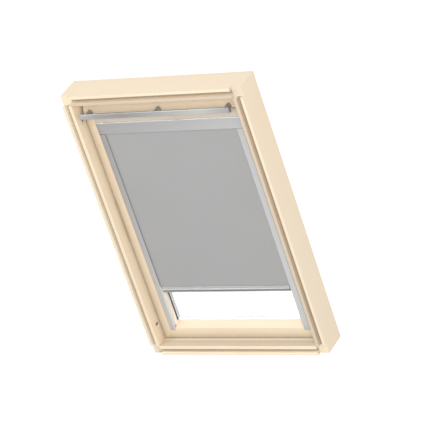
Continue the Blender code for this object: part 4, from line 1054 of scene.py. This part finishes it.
def casing_light_and_shade_painting(place, normal):
    """Painted highlight where the casing turns to the room, painted shade where it lies back, and painted
    light growing to the right.
    """
    fold = CASING_FOLD_PAINTED_HIGHLIGHT if normal.z > 0.15 and normal.y < -0.1 else 0.0
    return (CASING_BACK_PAINTED_SHADE if normal.z >= 0.8 else fold) + CASING_PAINTED_LIGHT_GROWTH * place.x


def rail_light_and_shade_painting(place, normal, middle_y):
    """Painted light and shade on the left rail: paler down its length, painted shade on its open edge
    beside the cloth, and painted light on that edge and inside its channel low down by the bottom bar.
    """
    below_bar = place.z < EDGE_CUTS[0] - 0.005
    inside_channel = abs(normal.y) > 0.5 and normal.y * (place.y - middle_y) < 0
    if normal.x > 0.5:
        return RAIL_LOW_EDGE_PAINTED_LIGHT if below_bar else RAIL_EDGE_PAINTED_SHADE
    if inside_channel and below_bar:
        return RAIL_LOW_EDGE_PAINTED_LIGHT
    return RAIL_PAINTED_LIGHT - RAIL_PAINTED_LIGHT_LOSS * place.z


low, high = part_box("blind_casing")
top = high.z + CASING_RISE
casing_path = [
    (low.y + CASING_LIP, low.z),
    (low.y, low.z),
    (low.y, top),
    (high.y, top),
    (high.y, high.z - CASING_BACK),
]
outline = sheet_outline(casing_path, CASING_FOLDS, SHEET)
casing = run_along(outline, "X", low.x, high.x)
metal_painted_light_and_shade(finished(casing, "casing_sheet", CASING_METAL, "blind_casing"), casing_light_and_shade_painting)
for side, s in (("left", -1), ("right", 1)):
    low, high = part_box(f"blind_rail_{side}")
    near_x, far_x = (high.x, low.x) if s < 0 else (-low.x, -high.x)
    rail_path = [
        (near_x, low.y + RAIL_FRONT_LIP),
        (near_x, low.y),
        (far_x, low.y),
        (far_x, high.y),
        (near_x - RAIL_BACK_LIP, high.y),
    ]
    outline = [(-s * x, y) for x, y in sheet_outline(rail_path, RAIL_FOLDS, SHEET)]
    rail = run_along(outline, "Z", low.z, high.z)
    for level in EDGE_CUTS:
        cut_at(rail, 2, level)
    rail = finished(rail, f"rail_{side}_sheet", RAIL_METAL, f"blind_rail_{side}")
    if side == "left":
        middle_y = (low.y + high.y) / 2
        metal_painted_light_and_shade(rail, lambda place, normal: rail_light_and_shade_painting(place, normal, middle_y))
    for node in (f"rail_stop_{side}", f"casing_cap_{side}", f"drop_bar_glide_{side}"):
        own_shape(node, "moulding", GREY_PLASTIC, 0.0006)


# The roller is an aluminium tube on two plastic plugs, with the rest of the cloth wound on it.
# The cloth is a grey blackout weave, coated on its back, and it hangs flat down to its bottom bar.
CLOTH_GREY = (0.385, 0.385, 0.385)
CLOTH_THICK = 0.0004
THREAD = 0.0007
SLUB = ((60.0, 900.0, 1.0), 2.0)
BROAD_CLOTH = 5.0
LINING_BEHIND, LINING_NARROWER, LINING_HEIGHT = 0.00045, 0.0005, 0.44
TUBE_R = 0.0074
WOUND_TURNS, TURN_STEPS = 3, 28


def make_weave():
    """A plain weave of threads in the cloth's own flat coordinates, in metres."""
    takes = {"Flat Place": "Vector", "Colour": (*CLOTH_GREY, 1), "Thread": THREAD}
    group, given, result = open_group("plain_weave", "ShaderNodeTree", takes, LOOK)
    calculate = calculator(group)
    flat = given["Flat Place"]
    turns = calculate("DIVIDE", math.pi, given["Thread"])
    phase = shaded(group, flat, turns)
    wave = first_of(group, "ShaderNodeVectorMath", {0: phase}, operation="SINE")
    parts = add_node(group, "ShaderNodeSeparateXYZ", {0: wave}).outputs
    woven = calculate("MULTIPLY", parts[0], parts[1])
    slub = noise(group, flat, *SLUB)
    shade = calculate("MULTIPLY_ADD", woven, 0.05, 0.93)
    shade = calculate("MULTIPLY_ADD", slub, 0.08, shade)
    shade = calculate("MULTIPLY_ADD", noise(group, flat, BROAD_CLOTH, 2.0), 0.06, shade)
    colour = shaded(group, given["Colour"], shade)
    rough = calculate("MULTIPLY_ADD", slub, 0.1, 0.8)
    return give(group, result, Color=colour, Roughness=rough, Height=woven)


def make_cloth_finish():
    """Grey blackout cloth that reads its weave from the sheet's own map."""
    values = {"Sheen Weight": 0.1, "Specular IOR Level": 0.3}
    made, tree, shader = open_material("blackout_weave", values)
    flat = first_of(tree, "ShaderNodeUVMap", uv_map="flat")
    weave = add_node(tree, "ShaderNodeGroup", {"Flat Place": flat}, node_tree=make_weave())
    wear(tree, shader, weave, 0.3, 0.0001)
    return made


BLACKOUT = make_cloth_finish()


def cloth_strip(name, path, half, across=24):
    """Cloth with its thickness along a path of (y, z) points, mapped by its flat size in metres."""
    bm = bmesh.new()
    flat = bm.loops.layers.uv.new("flat")
    lengths = [0.0]
    for a, b in zip(path, path[1:]):
        lengths.append(lengths[-1] + math.dist(a, b))
    xs = spread(-half, half, across + 1)
    rows = [[bm.verts.new((x, y, z)) for x in xs] for y, z in path]
    for i in range(len(path) - 1):
        for j in range(across):
            corners = ((i, j), (i, j + 1), (i + 1, j + 1), (i + 1, j))
            face = bm.faces.new([rows[r][c] for r, c in corners])
            for edge_loop, (r, c) in zip(face.loops, corners):
                edge_loop[flat].uv = (xs[c], lengths[r])
    mesh = bpy.data.meshes.new(name)
    bm.to_mesh(mesh)
    bm.free()
    mesh.materials.append(BLACKOUT)
    mesh.shade_smooth()
    piece = in_scene(name, mesh)
    solid = piece.modifiers.new("thickness", "SOLIDIFY")
    solid.thickness = CLOTH_THICK
    solid.offset = 0.0
    made = plain_mesh(piece)
    made.set_sharp_from_angle(angle=math.radians(40))
    piece.modifiers.clear()
    piece.data = made
    return piece, lengths[-1]


low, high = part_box("blind_cloth")
cloth_y = (low.y + high.y) / 2
path = [(cloth_y, z) for z in spread(high.z, low.z, 37)]
hung, hung_length = cloth_strip("hung_cloth", path, high.x)
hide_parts("blind_cloth")
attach(hung, "sash")
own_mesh(hung)
path = [(cloth_y + LINING_BEHIND, z) for z in spread(low.z + LINING_HEIGHT, low.z, 23)]
lining_half = high.x - LINING_NARROWER
spare, spare_length = cloth_strip("hung_cloth_lining", path, lining_half)
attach(spare, "drop_bar")
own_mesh(spare)

low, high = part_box("wound_cloth")
axle_y, axle_z = (low.y + high.y) / 2, (low.z + high.z) / 2
outer_r = (high.z - low.z) / 2 - 0.0003
spiral = []
for k in range(WOUND_TURNS * TURN_STEPS + 1):
    turn = 2 * math.pi * k / TURN_STEPS
    radius = TUBE_R + (outer_r - TUBE_R) * k / (WOUND_TURNS * TURN_STEPS)
    spiral.append((axle_y - radius * math.cos(turn), axle_z + radius * math.sin(turn)))
wound, wound_length = cloth_strip("wound_cloth_roll", spiral, high.x, 4)
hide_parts("wound_cloth")
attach(wound, "roller")
own_shape("roller_tube", "metal", CASING_METAL, 0.0002)
for side in ("left", "right"):
    own_shape(f"roller_plug_{side}", "moulding", GREY_PLASTIC, 0.0003)


# The bottom bar is a slim aluminium extrusion: a flat band over the cloth's hem, a rounded ridge to
# pull it by, a groove under the ridge with a dark brush strip in it, and a lip along its foot.
BOTTOM_BAR_METAL = metal("bottom_bar_aluminium", (0.42, 0.425, 0.42), 0.44, metallic=0.7)
BRUSH = coated("brush_strip", (0.17, 0.175, 0.18), 0.8, scale=1500.0, change=0.35, bump=0.8)
BAND_Y, LIP_Y, GROOVE_BACK_Y = -0.0036, -0.0046, -0.0016
LIP_HIGH, GROOVE_LOW, GROOVE_HIGH = 0.0032, 0.0040, 0.0095
RIDGE_LOW, RIDGE_HIGH, BAND_LOW = 0.0100, 0.0162, 0.0168
BAR_ROUNDS = (0.0006, 0.0012, 0.0008, 0.0003, 0.0003, 0.0016, 0.0026, 0.0004, 0.0014, 0.0006)
BRUSH_FRONT_Y, BRUSH_BACK_Y = -0.0030, -0.0018
BRUSH_LOW, BRUSH_HIGH = 0.0042, 0.0092
PULL_PAINTED_HIGHLIGHT = 0.9
low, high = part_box("drop_bar")
bar_outline = [
    (high.y, low.z),
    (LIP_Y, low.z),
    (LIP_Y, low.z + LIP_HIGH),
    (GROOVE_BACK_Y, low.z + GROOVE_LOW),
    (GROOVE_BACK_Y, low.z + GROOVE_HIGH),
    (low.y, low.z + RIDGE_LOW),
    (low.y, low.z + RIDGE_HIGH),
    (BAND_Y, low.z + BAND_LOW),
    (BAND_Y, high.z),
    (high.y, high.z),
]
bottom_bar = run_along(rounded(bar_outline, BAR_ROUNDS, 4), "X", low.x, high.x)
bottom_bar = finished(bottom_bar, "bottom_bar", BOTTOM_BAR_METAL, "drop_bar")
# A painted highlight on the bottom bar's rounded edges that look up and to the room.
metal_painted_light_and_shade(bottom_bar, lambda place, normal: PULL_PAINTED_HIGHLIGHT * is_room_fold(normal))
brush_outline = rectangle(BRUSH_BACK_Y, low.z + BRUSH_LOW, BRUSH_FRONT_Y, low.z + BRUSH_HIGH)
strip = ease_edges(run_along(brush_outline, "X", low.x + 0.001, high.x - 0.001), 0.0004, segments=2)
finished(strip, "bottom_bar_brush", BRUSH, body="drop_bar")


# The studio: a plain pale floor below the window, and a white surround that the camera, the glass
# and the metal see. A large soft lamp stands at the camera's right, a small one at its left lights
# the folds, and two weak ones stand to the right of the window and above it.
FLOOR_Z, FLOOR_HALF = -0.9, 12.0
FLOOR_GREY = 0.82
FLOOR_LIFT = 0.6
SURROUND_LIGHT = 0.50
LAMPS = (
    ("key_lamp", (3.3, -4.8, 3.6), 0.6, 3.3, 242),
    ("fold_lamp", (-1.9, -1.75, 3.4), 0.6, 0.7, 30),
    ("side_lamp", (2.8, -0.45, 1.5), 0.6, 1.2, 7),
    ("top_lamp", (0, 0.1, 4.2), 1.2, 1.0, 12),
)


def seen_share(tree):
    """One for rays that see the surround: the camera's, gloss and what comes through glass."""
    rays = add_node(tree, "ShaderNodeLightPath").outputs
    calculate = calculator(tree)
    seen = calculate("MAXIMUM", rays["Is Camera Ray"], rays["Is Glossy Ray"])
    return calculate("MAXIMUM", seen, rays["Is Transmission Ray"])


scene = bpy.context.scene
scene.view_settings.view_transform = "Standard"
world = bpy.data.worlds.new("studio")
world.use_nodes = True
scene.world = world
tree = world.node_tree
levels = {0: seen_share(tree), 1: 0.0, 2: 1.0, 3: SURROUND_LIGHT, 4: 1.0}
surround = tree.nodes["Background"]
surround.inputs["Color"].default_value = (1, 1, 1, 1)
tree.links.new(first_of(tree, "ShaderNodeMapRange", levels), surround.inputs["Strength"])

matt = {"Roughness": 0.9, "Specular IOR Level": 0.0, "Emission Color": (1, 1, 1, 1)}
matt["Base Color"] = (FLOOR_GREY, FLOOR_GREY, FLOOR_GREY, 1)
floor_paint, tree, paint = open_material("studio_floor", matt)
lift = calculator(tree)("MULTIPLY", seen_share(tree), FLOOR_LIFT)
tree.links.new(lift, paint.inputs["Emission Strength"])
floor_mesh = bpy.data.meshes.new("studio_floor")
corners = rectangle(-FLOOR_HALF, -FLOOR_HALF, FLOOR_HALF, FLOOR_HALF)
floor_mesh.from_pydata([(x, y, FLOOR_Z) for x, y in corners], [], [(0, 1, 2, 3)])
floor_mesh.materials.append(floor_paint)
in_scene("studio_floor", floor_mesh)
for name, place, aim_z, size, power in LAMPS:
    light = bpy.data.lights.new(name, "AREA")
    light.shape = "SQUARE"
    light.size = size
    light.energy = power
    lamp = in_scene(name, light)
    lamp.location = place
    lamp.rotation_mode = "QUATERNION"
    lamp.rotation_quaternion = (Vector((0, 0, aim_z)) - Vector(place)).to_track_quat("-Z", "Y")

# The camera stands where the photograph was taken from, with a long lens some metres away.
# Its place, its three directions and its lens were solved from the frame's corners.
LENS = 233.33
CAMERA_PLACE = (5.39138, -7.67806, 5.42688)
TO_RIGHT = Vector((0.86194657, 0.41452003, -0.29192681))
TO_TOP = Vector((0.02300147, 0.54322885, 0.83926953))
TO_BACK = Vector((0.5064771, -0.73012024, 0.45869968))
camera = in_scene("camera", bpy.data.cameras.new("camera"))
camera.data.sensor_width = 36.0
camera.data.lens = LENS
camera.data.clip_end = 100.0
turn = Matrix((TO_RIGHT, TO_TOP, TO_BACK)).transposed().to_4x4()
camera.matrix_world = Matrix.Translation(CAMERA_PLACE) @ turn
scene.camera = camera
